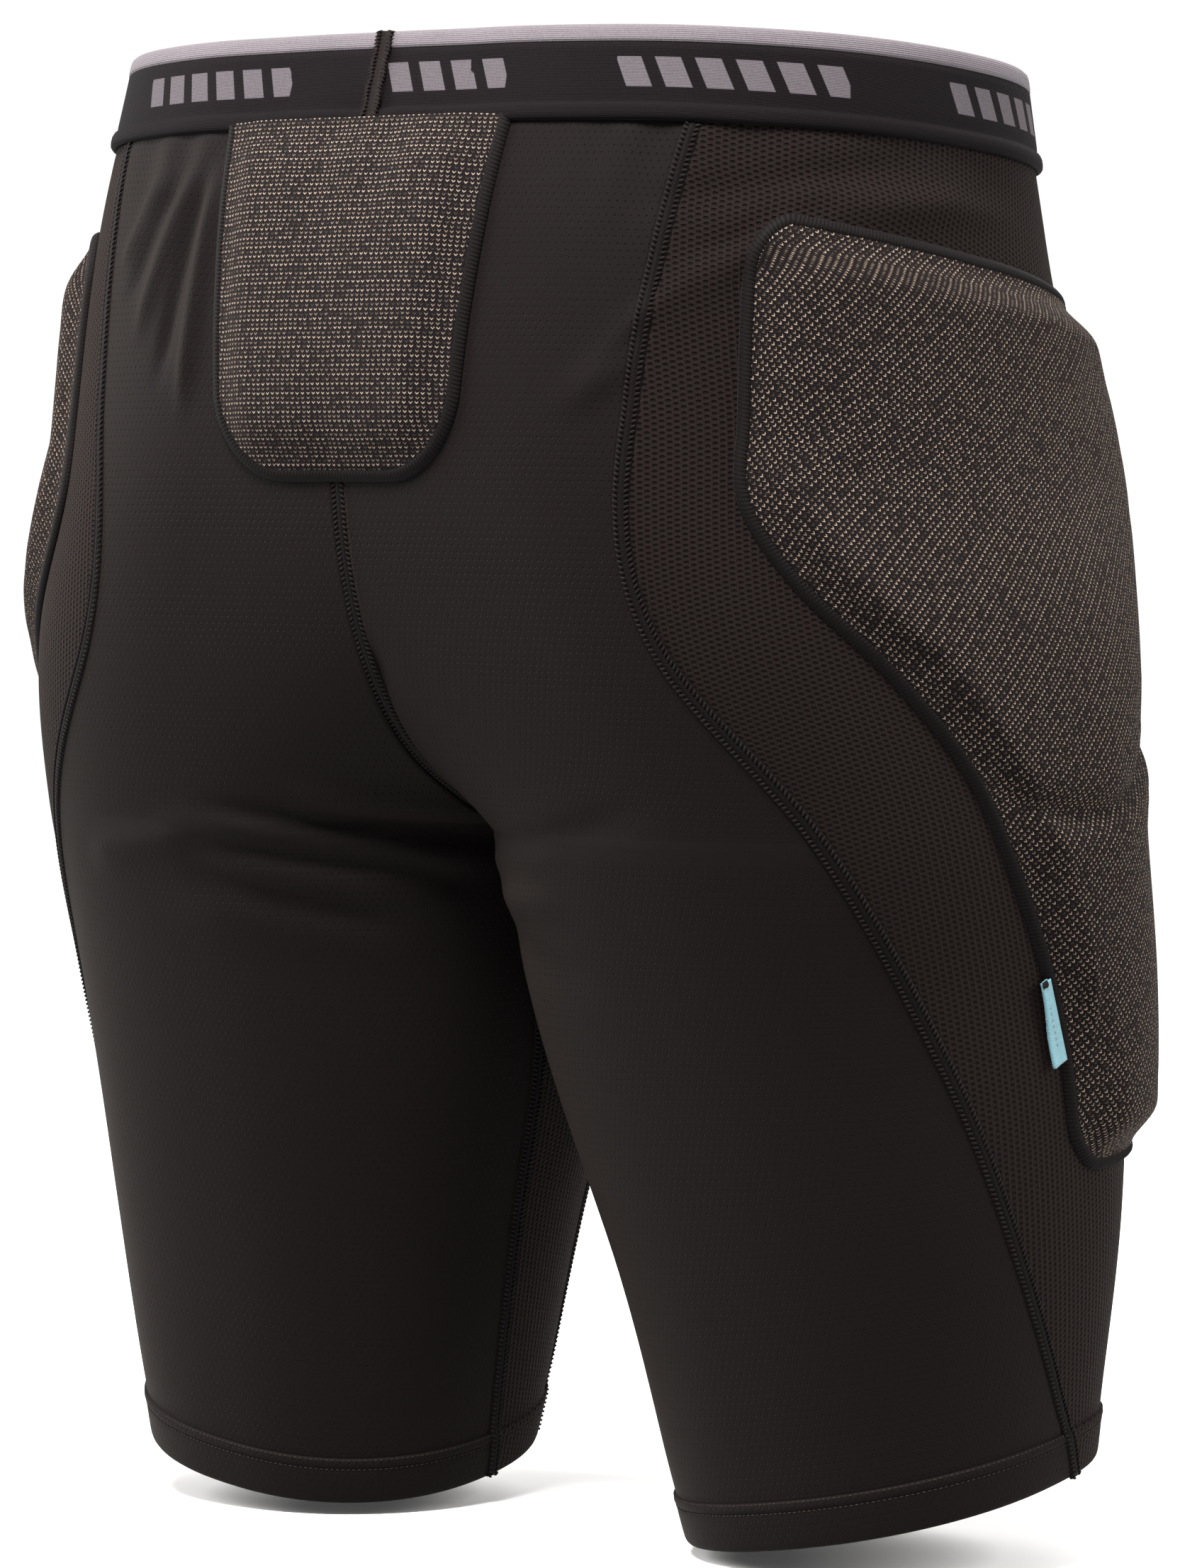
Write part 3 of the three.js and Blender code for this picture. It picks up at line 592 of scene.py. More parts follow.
def fleck_material(name, slope, base, thread):
    """Hard-wearing cover: dark ground with rows of small pale V stitches, turned by slope."""
    s = Shader(name)
    c, d = math.cos(slope), math.sin(slope)
    a = s.u * c + s.v * d
    b = s.v * c - s.u * d + (s.noise(160, 2) - 0.5) * 0.55
    pitch, spacing = 3.0, 2.1
    rows = []
    # full rows, and fainter ones halfway between them: offset, strength, share left out
    for offset, strength, missing in ((0.0, 1.0, 0.04), (1.5, 0.5, 0.2)):
        up = (b + offset) / pitch
        row = up.floor()
        along_row = a / spacing + s.chance(row, offset) * 0.35
        luck = s.chance(along_row.floor(), row + (17.3 + offset))
        arm = abs(along_row.in_cell(spacing) + (luck - 0.5) * 0.5)
        vee = abs(up.in_cell(pitch) - arm * 0.85)
        line = vee.fall(0.10, 0.34) * arm.fall(0.40, 0.74)
        rows.append(line * strength * (1.0 - luck.fall(missing, missing + 0.25) * 0.8))
    fleck = (rows[0] + rows[1]).least(1.0)
    fuzz, cloud = s.noise(1000, 3), s.noise(14, 2)
    weave = (a * 6.3).sine() * (b * 6.3).sine()
    ground = s.tones(fuzz * 0.5 + weave * 0.16 + cloud * 0.3, base, 0.5, 1.7)
    colour = s.mix(fleck * 0.92, ground, thread)
    height = fleck * 0.6 + weave * 0.3 + fuzz * 0.5
    return s.finish(colour, height, 0.26, 0.75, MATT, WARM, 0.015)


def band_material():
    """Woven elastic: fine ribs, with groups of slanted bars in a paler yarn."""
    s = Shader("mat_elastic")
    base, thread = (0.0021, 0.0016, 0.0019), (0.042, 0.037, 0.041)
    ribs = (s.v * 12.5).sine()
    ticks = ((s.u + ribs * 0.12) * 9.0).sine()
    fuzz, cloud = s.noise(1300, 2), s.noise(18, 2)
    ground = s.tones(ribs * 0.10 + fuzz * 0.6 + cloud * 0.3, base, 0.6, 1.5)
    # the run of groups starts afresh on the left half, so that each side meets the join as it should
    girth = waist_girth()
    pitch, group, bar = 115.0, 76.0, 13.0
    right_start, left_start = 22.0, 111.0 - girth + 9 * pitch
    start = s.u.above(girth / 2) * (left_start - right_start) + right_start
    repeat = ((s.u + start) / pitch).fract() * pitch
    slant = (s.v - 15.0) * 0.45
    within = repeat.fall(group, group + 0.5) * (1.0 - repeat.fall(0.5, 1.0))
    bars = abs(((repeat + slant) / bar).in_cell(bar)).fall(4.1, 4.4)
    tall = abs(s.v - 14.6).fall(4.7, 5.0)
    # where the two runs meet, at the middle of the front, the cut bar is left out
    meeting = abs(s.u + slant - (girth / 2 - 1.9)).fall(3.95, 4.05)
    motif = within * bars * tall * (1.0 - meeting)
    chequer = (s.u * 9.0).sine() * (s.v * 12.5).sine()
    pale = s.tones(fuzz * 0.6 + chequer * 0.28, thread, 0.62, 1.25)
    height = motif * 0.5 + ribs * 0.3 + ticks * 0.12 + fuzz * 0.3
    return s.finish(s.mix(motif, ground, pale), height, 0.14, 0.78, MATT, COOL, 0.015)


def stripe_material():
    """Brushed top edge of the elastic, with fine lines along it."""
    s = Shader("mat_stripe")
    lines = (s.v * 9.5 + s.noise(60, 1) * 1.2).sine()
    fuzz, cloud = s.noise(1200, 3), s.noise(30, 2)
    colour = s.tones(lines * 0.16 + fuzz * 0.7 + cloud * 0.3, (0.052, 0.046, 0.051), 0.6, 1.3)
    return s.finish(colour, lines * 0.4 + fuzz * 0.5, 0.14, 0.85, 0.03, COOL, 0.08)


def thread_material(name, base, tint, twist=(7.0, 9.0), share=0.15):
    """Spun thread with a twist or ribs, given as radians per mm along it and across it."""
    s = Shader(name)
    turn = (s.u * twist[0] + s.v * twist[1]).sine()
    fuzz = s.noise(1400, 2)
    colour = s.tones(turn * share + fuzz * 0.8, base, 0.5, 1.6)
    return s.finish(colour, turn * 0.4 + fuzz, 0.1, 0.66, MATT, tint, 0.02)


def label_material():
    """Blue ribbon with a fine weave and a dark printed rule of plain dashes."""
    s = Shader("mat_label")
    weave = (s.u * 11.0).sine() * (s.v * 11.0).sine()
    fuzz = s.noise(900, 2)
    ground = s.tones(weave * 0.3 + fuzz * 0.7, (0.045, 0.125, 0.150), 0.72, 1.15)
    dash = abs((s.u / 2.2).in_cell(1.0)).fall(0.18, 0.24)
    line = abs(s.v - 3.4).fall(0.35, 0.5)
    inside = abs(s.u - 2.0).fall(7.5, 7.8)
    colour = s.mix(dash * line * inside * 0.85, ground, (0.008, 0.02, 0.026))
    return s.finish(colour, weave + fuzz, 0.08, 0.5, 0.15, PALE_BLUE, 0.35)


def waist_girth():
    """Length round the band at half its height, mm."""
    h = np.array([459.0])
    end = oval(h)[5]
    return 2 * float(lengths(surface(evenly(-end, end, h, 240)[0], h))[-1])


KNIT = knit_material()
WAFFLE = waffle_material()
HIP_COVER = fleck_material("mat_hip_cover", math.radians(38), (0.0024, 0.0018, 0.0020), (0.115, 0.088, 0.066))
TAIL_COVER = fleck_material("mat_tail_cover", 0.0, (0.0030, 0.0023, 0.0026), (0.125, 0.098, 0.075))
BAND = band_material()
STRIPE = stripe_material()
THREAD = thread_material("mat_thread", (0.0044, 0.0033, 0.0032), COOL)
# one rib for each turn of the overlocking thread
RIB_PITCH = 1.32
BINDING = thread_material("mat_binding", (0.0024, 0.0018, 0.0019), COOL, (2 * math.pi / RIB_PITCH, 0.6), 0.5)
SEAM_TAPE = thread_material("mat_seam_tape", (0.0017, 0.00125, 0.0012), COOL)
TICKS = thread_material("mat_pale_stitch", (0.011, 0.009, 0.008), WARM)
LABEL = label_material()


def dress(ob, slot_name, *mats):
    for m in mats:
        ob.data.materials.append(m)


# ------------------------------------------------------------------ panels and seams of one side
CLOTH_LOW, CLOTH_TOP = 14.5, 446.5
SEAM_CLEAR = 2.2
SEAM_HALF = 2.9


def rows_between(low, high, step):
    """Even rows, crowded just above the crotch where the two legs part."""
    lower = np.linspace(low, CROTCH, max(int((CROTCH - low) / step), 2))
    n = int((high - CROTCH) / step * 1.15)
    upper = CROTCH + (high - CROTCH) * (np.arange(1, n + 1) / n) ** 1.3
    return np.concatenate([lower, upper])


def line_at(rows, h):
    return through(rows, 1, h / HEIGHT)


def inner_at(rows, h):
    return through(rows, 1, np.minimum(h / CROTCH, 1))


def middle_limit(h, back):
    """Where the back and front panels end: the inner thigh seam, then the centre seam."""
    line = inner_at(INNER_BACK if back else INNER_FRONT, h)
    low = along(line, np.minimum(h, CROTCH - 0.5), SEAM_CLEAR if back else -SEAM_CLEAR)
    high = angle_at_x(np.maximum(h, CROTCH), 2.4, back)
    t = smooth((h - (CROTCH - 9)) / 9)
    return np.where(h < CROTCH, low * (1 - t) + (-math.pi if back else math.pi) * t, high)


def panel(prefix, left, name, h, a0, a1, columns, mat, slot_name):
    """One panel as a closed skin 1.1 mm thick between two angles, with its flat size."""
    angles = evenly(a0, a1, h, columns)
    hh = np.repeat(h[:, None], columns + 1, 1)
    outer = cloth(angles, hh, np.zeros_like(hh), left)
    inner = cloth(angles, hh, np.full_like(hh, -1.1), left)
    ob = shell(prefix + name + "_cloth", outer, inner, grid_uv(outer))
    dress(ob, slot_name, mat)
    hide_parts(prefix + name)
    bend(ob, prefix)


# the seam's cross-section, share of its half width and height: two needle tracks and a low middle rib
PROFILE = [(-1.0, -0.25), (-0.93, 0.1), (-0.7, 0.32), (-0.42, 0.2), (-0.2, 0.66), (0.2, 0.66), (0.42, 0.2),
           (0.7, 0.32), (0.93, 0.1), (1.0, -0.25)]
SEAM_TALL, SEAM_PITCH, SEAM_UNDER = 0.95, 1.7, 0.9


def seam(name, node, p, n):
    """A raised flatlock seam along points p with normals n, with a ladder of stitches at each edge."""
    data = np.concatenate([p, n], -1)
    line = resample(data, 2.0)
    q, m = line[:, :3], unit(line[:, 3:])
    s = frame_along(q, m)[1]
    rings = [q + s * (u * SEAM_HALF) + m * (w * SEAM_TALL) for u, w in PROFILE]
    rings += [q + s * (side * 0.9 * SEAM_HALF) - m * SEAM_UNDER for side in (1, -1)]
    rings = np.stack(rings, 1)
    uv = np.stack(np.broadcast_arrays(lengths(q)[:, None], np.arange(len(PROFILE) + 2) * 0.6), -1) * MM
    parts = [tube_part(rings, uv)]
    fine = resample(data, SEAM_PITCH)
    q, m = fine[:, :3], unit(fine[:, 3:])
    t, s = frame_along(q, m)
    for side in (-1, 1):
        lean = s * 0.92 + t * 0.38 * side
        parts.append(stitches(q + s * (side * 0.62 * SEAM_HALF), t, lean, m, 0.36 * SEAM_HALF, 0.5,
                              0.72 * SEAM_TALL, rows_of(np.arange(len(q)) * SEAM_PITCH, 9.0), 1, 0.2))
    ob = join_parts(name, parts)
    dress(ob, "thread", SEAM_TAPE, THREAD)
    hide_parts(node)
    return ob


def build_side(prefix, left):
    rows = rows_between(CLOTH_LOW, CLOTH_TOP, 2.4)
    back, front = line_at(BACK_SEAM, rows), line_at(FRONT_SEAM, rows)
    low = np.linspace(CLOTH_LOW, CROTCH - 0.6, 90)
    inner_front, inner_back = inner_at(INNER_FRONT, low), inner_at(INNER_BACK, low) + 2 * math.pi
    panel(prefix, left, "back_panel", rows,
          middle_limit(rows, True), along(back, rows, -SEAM_CLEAR), 70, KNIT, "smooth_knit")
    panel(prefix, left, "side_mesh_panel", rows,
          along(back, rows, SEAM_CLEAR), along(front, rows, -SEAM_CLEAR), 86, WAFFLE, "waffle_mesh")
    panel(prefix, left, "front_panel", rows,
          along(front, rows, SEAM_CLEAR), middle_limit(rows, False), 60, KNIT, "smooth_knit")
    panel(prefix, left, "inner_thigh_panel", low,
          along(inner_front, low, SEAM_CLEAR), along(inner_back, low, -SEAM_CLEAR), 28, WAFFLE, "waffle_mesh")
    tall = np.concatenate([np.linspace(0.6, 14, 10), np.linspace(16, CROTCH, 120), rows[rows > CROTCH]])
    short = np.linspace(0.6, CROTCH - 1.0, 130)
    lines = (
        ("back_side_seam", tall, line_at(BACK_SEAM, tall)),
        ("front_side_seam", tall, line_at(FRONT_SEAM, tall)),
        ("inner_thigh_back_seam", short, inner_at(INNER_BACK, short)),
        ("inner_thigh_front_seam", short, inner_at(INNER_FRONT, short)),
    )
    for name, h, a in lines:
        p = cloth(a, h, np.full_like(h, 0.1), left)
        n = normal(a, h) * facing(left)
        # over the hem the seam lies on the turned-up edge
        p = p + n * smooth((18 - h) / 2.5)[:, None]
        ob = seam(prefix + name + "_stitched", prefix + name, p, n)
        bend(ob, prefix)


# ------------------------------------------------------------------ hem
HEM_COLUMNS = 240
# height and distance off the fabric, from the hem's ridge down, round its fold and up inside
HEM = ((16.6, -0.5), (16.4, 0.35), (15.6, 1.0), (14.6, 1.25), (13.7, 1.1), (13.1, 0.7), (12.2, 0.95),
       (10, 1.0), (7, 1.0), (4, 1.0), (2, 0.95), (1.0, 0.75), (0.3, 0.3), (0.0, -0.5), (0.3, -1.2),
       (1.2, -1.7), (4, -1.9), (8, -1.9), (12, -1.9), (15, -1.7), (16.2, -1.2))


def hem_ring(h, off, left):
    a = round_ring(h, HEM_COLUMNS)
    p = cloth(a, np.full_like(a, h), np.full_like(a, off), left)
    if h < 3:
        # the edge lies in one plane
        p[:, 2] = h + tilt(0.0, p[:, 1], np.abs(p[:, 0]) - SECTIONS[0, 1]) - HEIGHT
    return p


def hem_stitches(h, off, left):
    """One needle line of the coverstitch."""
    a = round_ring(h, 236)
    p = cloth(a, np.full_like(a, h), np.full_like(a, off), left)
    n = normal(a, np.full_like(a, h)) * facing(left)
    t = unit(np.roll(p, -1, 0) - np.roll(p, 1, 0))
    return stitches(p, np.cross(t, n), t, n, 0.62, 0.22, 0.12, rows_of(np.arange(len(p)) * 1.5, h), 2)


def in_waffle(a, h):
    """Whether each angle of the ring at one height is on a waffle panel."""
    at = np.array([h])
    inner_front, inner_back = inner_at(INNER_FRONT, at), inner_at(INNER_BACK, at)
    side = (a > line_at(BACK_SEAM, at)) & (a < line_at(FRONT_SEAM, at))
    return side | (a > inner_front) | (a < inner_back)


def build_hem(prefix, left):
    """Turned-up edge: rounded fold below, coverstitched ridge at its top."""
    rings = np.stack([hem_ring(h, off, left) for h, off in HEM])
    m, n = rings.shape[:2]
    # the inside starts 30 mm on, so that its pattern is its own
    up = np.array([h + (30 if off < -0.6 else 0) for h, off in HEM])
    uv = np.stack(np.broadcast_arrays(np.arange(n) * 1.72, up[:, None]), -1).reshape(-1, 2) * MM
    parts = [(rings.reshape(-1, 3), [ring_quads(m, n, True)], uv, 0)]
    parts += [hem_stitches(16.0, 0.75, left), hem_stitches(12.7, 0.85, left)]
    ob = join_parts(prefix + "hem_band", parts)
    dress(ob, "smooth_knit", KNIT, WAFFLE, TICKS)
    # the waffle panels carry on into the hem
    index = np.array([p.material_index for p in ob.data.polygons], np.int32)
    index[:m * n] = np.tile(in_waffle(round_ring(8.0, n), 8.0), m)
    ob.data.polygons.foreach_set("material_index", index)
    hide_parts(prefix + "hem")
    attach(ob, prefix + "leg")


for side_prefix, side_left in SIDES:
    build_side(side_prefix, side_left)
    build_hem(side_prefix, side_left)


# ------------------------------------------------------------------ pads
# height of a pad's underside above the fabric
PAD_BASE = 0.25


def corner_in(h, a, radius):
    near = np.minimum(PAD_TOP - PAD_SLOPE * a - h, h - PAD_LOW)
    u = np.clip(1 - near / radius, 0, 1)
    return radius * (1 - np.sqrt(1 - u * u))


def pad_edge_angle(h, front):
    share = (h - PAD_LOW) / (PAD_TOP - PAD_LOW)
    base = through(PAD_FRONT if front else PAD_BACK, 1, share)
    turn = corner_in(h, base, PAD_CORNER)
    return along(base, h, -turn if front else turn)


def nearer(a, b):
    """The smaller of two distances, rounded where they are alike."""
    a, b = np.maximum(a, 0.001), np.maximum(b, 0.001)
    return (a ** -4 + b ** -4) ** -0.25


def pad_off(a, h):
    """Height of the pad's cover above the fabric, with its crease at the hip, and distance to its edge."""
    back, front = pad_edge_angle(h, False), pad_edge_angle(h, True)
    speed = np.linalg.norm(surface(a + 0.01, h) - surface(a - 0.01, h), axis=-1) / 0.02
    across = np.minimum(a - back, front - a) * speed
    updown = np.minimum(h - PAD_LOW, PAD_TOP - PAD_SLOPE * a - h)
    edge = nearer(across, updown)
    p = surface(a, h)
    reach = np.hypot(p[..., 1] - HIP_Y, p[..., 2] + HEIGHT - HIP_H)
    below = (p[..., 2] + HEIGHT < HIP_H - 20).astype(float)
    dip = below * 3.4 * np.exp(-((reach - FOLD_R) / 4.2) ** 2)
    lip = below * 1.2 * np.exp(-((reach - FOLD_R - 11) / 6) ** 2)
    return PAD_EDGE + (PAD_RISE - dip + lip) * smooth(edge / PAD_SHOULDER), edge


def pad_grid(nu, nv):
    """Angles and heights of a grid that fills the pad's outline, found in rounds that settle."""
    i, j = np.meshgrid(np.linspace(0, 1, nu), np.linspace(0, 1, nv), indexing="xy")
    h = np.full_like(i, (PAD_LOW + PAD_TOP) / 2)
    for _ in range(40):
        back, front = pad_edge_angle(h, False), pad_edge_angle(h, True)
        a = back + (front - back) * i
        h = h + (PAD_LOW + (PAD_TOP - PAD_SLOPE * a - PAD_LOW) * j - h) * 0.7
    return a, h


def swell(outer, base, cap):
    """How far a pad's face moves under pressure, mm: Cloth on a closed pad with a held back and rim."""
    nv, nu = outer.shape[:2]
    ob = shell("pad_trial", outer, base, np.zeros((nv, nu, 2)))
    held = np.zeros((2, nv, nu), bool)
    held[1] = True
    held[0, [0, -1]] = True
    held[0, :, [0, -1]] = True
    group = ob.vertex_groups.new(name="held")
    group.add(np.nonzero(held.ravel())[0].tolist(), 1.0, "ADD")
    cloth_mod = ob.modifiers.new("Cloth", "CLOTH")
    s = cloth_mod.settings
    s.vertex_group_mass = "held"
    s.use_pressure = True
    s.uniform_pressure_force = 5.0
    s.quality = 5
    s.tension_stiffness = 9.0
    s.compression_stiffness = 9.0
    s.shear_stiffness = 4.0
    s.bending_stiffness = 0.35
    s.effector_weights.gravity = 0
    cloth_mod.collision_settings.use_collision = False
    scene = bpy.context.scene
    for frame_no in range(1, 17):
        scene.frame_set(frame_no)
    swollen = ob.evaluated_get(bpy.context.evaluated_depsgraph_get())
    out = np.empty(len(ob.data.vertices) * 3)
    swollen.data.vertices.foreach_get("co", out)
    out = out.reshape(-1, 3)[:nu * nv].reshape(nv, nu, 3) / MM
    scene.frame_set(1)
    bpy.data.meshes.remove(ob.data)
    move = out - outer
    far = np.linalg.norm(move, axis=-1, keepdims=True)
    return move * np.minimum(1, cap / np.maximum(far, 1e-9))


def enlarge(g, nu, nv):
    """A finer copy of a grid, by straight lines each way."""
    v0, u0 = g.shape[:2]
    x, y = np.linspace(0, u0 - 1, nu), np.linspace(0, v0 - 1, nv)
    i, j = np.clip(x.astype(int), 0, u0 - 2), np.clip(y.astype(int), 0, v0 - 2)
    fx, fy = (x - i)[None, :, None], (y - j)[:, None, None]
    low = g[j][:, i] * (1 - fx) + g[j][:, i + 1] * fx
    high = g[j + 1][:, i] * (1 - fx) + g[j + 1][:, i + 1] * fx
    return low * (1 - fy) + high * fy


def pad_face(place, nu, nv, cap):
    """The pad's outer face, swollen by simulation, and its base; place(nu, nv) gives both before that."""
    outer, base = place(nu, nv)
    move = swell(*place(nu // 3 + 1, nv // 3 + 1), cap)
    fine = enlarge(move, nu, nv)
    for _ in range(2):
        fine[1:-1, 1:-1] = (fine[1:-1, 1:-1] * 2 + fine[:-2, 1:-1] + fine[2:, 1:-1]
                            + fine[1:-1, :-2] + fine[1:-1, 2:]) / 6
    return outer + fine, base


# the binding's cross-section: place across the pad's edge (negative is outside it), height above the fabric,
# and whether thread covers it
BINDING_SHAPE = ((0.9, 0.1, 0), (0.8, 1.3, 1), (0.2, 2.0, 1), (-0.9, 2.25, 1), (-2.1, 2.05, 1),
                 (-3.1, 1.4, 1), (-3.8, 0.45, 1), (-3.95, 0.0, 0), (-1.5, -0.4, 0))
# three stations make one rib of thread
RIB = np.array([0.0, 1.0, 0.75])
RIB_TALL = 0.42


def binding(name, node, p, n, closed, left):
    """Overlocked edge: a rounded cord with ribs of thread across it, outside the pad's edge."""
    data = np.concatenate([p, n], -1)
    step = RIB_PITCH / len(RIB)
    if closed:
        data = np.concatenate([data, data[:1]])
        total = lengths(data[:, :3])[-1]
        count = int(total / step) // len(RIB) * len(RIB)
        fine = resample(data, total / (count + 0.5))[:-1]
        q = fine[:, :3]
        t = unit(np.roll(q, -5, 0) - np.roll(q, 5, 0))
    else:
        fine = resample(data, step)
        q = fine[:, :3]
        k = np.arange(len(q))
        t = unit(q[np.minimum(k + 5, len(q) - 1)] - q[np.maximum(k - 5, 0)])
    m = unit(fine[:, 3:])
    s = unit(np.cross(m, t)) * (-1 if left else 1)
    rib = RIB_TALL * RIB[np.arange(len(q)) % len(RIB)][:, None]
    rings = [q + s * u + m * (w + rib * covered) + t * ((u + 1.5) * 0.15) for u, w, covered in BINDING_SHAPE]
    rings = np.stack(rings, 1)
    stations, sides = rings.shape[:2]
    uv = rows_of((np.arange(stations) * step)[:, None], np.arange(sides) * 0.8)
    ob = join_parts(name, [tube_part(rings, uv * MM, closed)])
    dress(ob, "binding", BINDING)
    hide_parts(node)
    return ob


def build_hip_pad(prefix, left):
    """Long pad over the hip and thigh, in one cover that creases between its two foams."""
    def place(nu, nv):
        a, h = pad_grid(nu, nv)
        off, edge = pad_off(a, h)
        p, n = surface(a, h), normal(a, h)
        # the fabric's wrinkles die out under the foam
        w = wrinkle(p, h, left) * np.exp(-(edge / 11) ** 2)
        outer = (p + n * (off + w)[..., None]) * facing(left)
        base = (p + n * (PAD_BASE + w)[..., None]) * facing(left)
        return outer, base

    outer, base = pad_face(place, 112, 160, 2.2)
    ob = shell(prefix + "hip_pad_cushion", outer, base, grid_uv(outer))
    dress(ob, "fleck_cover", HIP_COVER)
    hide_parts(prefix + "pad_cover", prefix + "hip_pad_foam", prefix + "thigh_pad_foam")
    bend(ob, prefix)

    # once round the grid's rim
    rim = [np.concatenate([g[0, :-1], g[:-1, -1], g[-1, :0:-1], g[:0:-1, 0]]) for g in pad_grid(200, 300)]
    p = cloth(*rim, np.zeros_like(rim[0]), left)
    n = normal(*rim) * facing(left)
    bend(binding(prefix + "pad_edge_binding", prefix + "pad_binding", p, n, True, left), prefix)


# ------------------------------------------------------------------ tailbone pad
TAIL_TOP = 446.0


def seat_back(x, h, off):
    """Points of the worn fabric across the middle of the back, by x and height, and their normals."""
    a = angle_at_x(h, np.maximum(np.abs(x), 0.01), True)
    p, n = surface(a, h), normal(a, h)
    w = np.where(x < 0, wrinkle(p, h, True), wrinkle(p, h, False))
    # both halves agree on the middle line
    w = w * smooth(np.abs(x) / 14)
    one = np.ones_like(x)
    n = unit(n * np.stack([smooth(np.abs(x) / 3), one, one], -1))
    turn = np.stack([np.where(x < 0, -1.0, 1.0), one, one], -1)
    return (p + n * (off + w)[..., None]) * turn, n * turn


def tail_half(h):
    """Half the pad's width at a height, with its rounded lower corners."""
    base = TAIL_LOW_HALF + (TAIL_TOP_HALF - TAIL_LOW_HALF) * (h - TAIL_LOW) / (PANEL_TOP - TAIL_LOW)
    u = np.clip(1 - (h - TAIL_LOW) / TAIL_CORNER, 0, 1)
    return base - TAIL_CORNER * (1 - np.sqrt(1 - u * u))


def build_tail_pad():
    def place(nu, nv):
        i, j = np.meshgrid(np.linspace(-1, 1, nu), np.linspace(0, 1, nv), indexing="xy")
        h = TAIL_LOW + (TAIL_TOP - TAIL_LOW) * j
        x = i * tail_half(h)
        edge = nearer(tail_half(h) - np.abs(x), h - TAIL_LOW)
        rise = smooth(edge / PAD_SHOULDER) * (0.35 + 0.65 * smooth((PANEL_TOP - h) / PAD_SHOULDER))
        outer = seat_back(x, h, PAD_EDGE + TAIL_RISE * rise)[0]
        return outer, seat_back(x, h, np.full_like(x, PAD_BASE))[0]

    outer, base = pad_face(place, 84, 84, 1.6)
    ob = shell("tailbone_pad_cushion", outer, base, grid_uv(outer))
    dress(ob, "fleck_cover", TAIL_COVER)
    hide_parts("tailbone_pad_cover", "tailbone_pad_foam")
    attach(ob, "pelvis")

    h = TAIL_LOW + (TAIL_TOP - TAIL_LOW) * np.linspace(0, 1, 120) ** 1.7
    half = tail_half(h)
    low = np.linspace(-1, 1, 60)[1:-1] * tail_half(np.array(TAIL_LOW))
    x = np.concatenate([-half[::-1], low, half])
    h = np.concatenate([h[::-1], np.full_like(low, TAIL_LOW), h])
    p, n = seat_back(x, h, np.zeros_like(x))
    ob = binding("tailbone_edge_binding", "tailbone_pad_binding", p, n, False, False)
    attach(ob, "pelvis")


# ------------------------------------------------------------------ seams on the middle line
CROTCH_SEAM_TOP = 250.0


def middle_point(h, back):
    """Where the body surface meets the middle line, at the back or the front."""
    centre, _, _, depth, forward, _, q = oval(h)
    reach = (1 - q ** ROUND) ** (1 / ROUND)
    flat = 1.0 if back else 1 - flat_at(h)
    y = forward + (-1 if back else 1) * depth * flat * reach
    return np.stack([np.zeros_like(y), y, h + tilt(h, y, -centre) - HEIGHT], -1)


def build_centre_seams():
    up = CROTCH + 0.05 + (444.5 - CROTCH) * np.linspace(0, 1, 260) ** 2.2
    path = np.concatenate([middle_point(up, True)[::-1], middle_point(up, False)])
    path = resample(path, 2.0)
    # the small saddle between the legs is rounded off
    for _ in range(12):
        path[1:-1] = (path[:-2] + 2 * path[1:-1] + path[2:]) / 4
    n = np.cross(unit(np.gradient(path, axis=0)), np.array([1.0, 0, 0]))
    below = np.nonzero(path[:, 2] + HEIGHT < CROTCH_SEAM_TOP)[0]
    first, last = below[0], below[-1]
    # the back seam starts just under the lower edge of the tailbone pad
    start = np.nonzero(path[:, 2] + HEIGHT < TAIL_LOW + 12)[0][0]
    for name, a, b in (("centre_back_seam", start, first + 1), ("crotch_seam", first, last + 2),
                       ("centre_front_seam", last + 1, None)):
        ob = seam(name + "_stitched", name, path[a:b], n[a:b])
        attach(ob, "pelvis")


# ------------------------------------------------------------------ waistband
BAND_COLUMNS = 300
# height and distance off the body round each ring: rolled lower edge, woven face, inner face
BAND_SHAPE = ((445.0, -1.6), (444.4, -0.6), (444.2, 0.6), (444.4, 1.7), (445.0, 2.25), (446.2, 2.5),
              (447.8, 2.5), (449.0, 2.1), (449.6, 1.35), (450.3, 1.2), (452, 1.35), (455, 1.4), (459, 1.4),
              (463, 1.4), (467, 1.4), (469.3, 1.4), (469.45, 1.0), (469.45, -1.3), (469.0, -1.7), (460, -1.8),
              (450, -1.8))
STRIPE_SHAPE = ((469.55, -1.3), (469.55, 1.0), (469.8, 1.55), (471, 1.7), (473, 1.7), (474.5, 1.5),
                (475.3, 0.8), (475.5, 0.0), (475.3, -0.9), (474.5, -1.5), (472, -1.7), (470, -1.6))


def band_wave(p, h):
    """Soft unevenness of the elastic, stronger low down, and drawn in beside the join."""
    x, y = p[:, 0], p[:, 1]
    a = np.arctan2(y, x)
    soft = 0.35 * np.sin(7 * a + 0.6) + 0.25 * np.sin(17 * a + 1.1)
    pull = -0.9 * np.exp(-((x + 2) / 9) ** 2) * (y < 0) * smooth((462 - h) / 14)
    return soft * (0.4 + 0.6 * smooth((456 - h) / 11)) + pull


def ring_points(h, off):
    """A closed line round the waist, starting at the middle of the back."""
    end = oval(np.array([h]))[5]
    a = evenly(-end, end, np.array([h]), BAND_COLUMNS)[0]
    p, n = surface(a, h), normal(a, h)
    n[[0, -1], 0] = 0
    p[[0, -1], 0] = 0
    n = unit(n)
    q = p + n * off
    mirror = np.array([-1, 1, 1])
    q = np.concatenate([q, q[::-1][1:-1] * mirror])
    n = np.concatenate([n, n[::-1][1:-1] * mirror])
    return q + n * band_wave(q, h)[:, None]


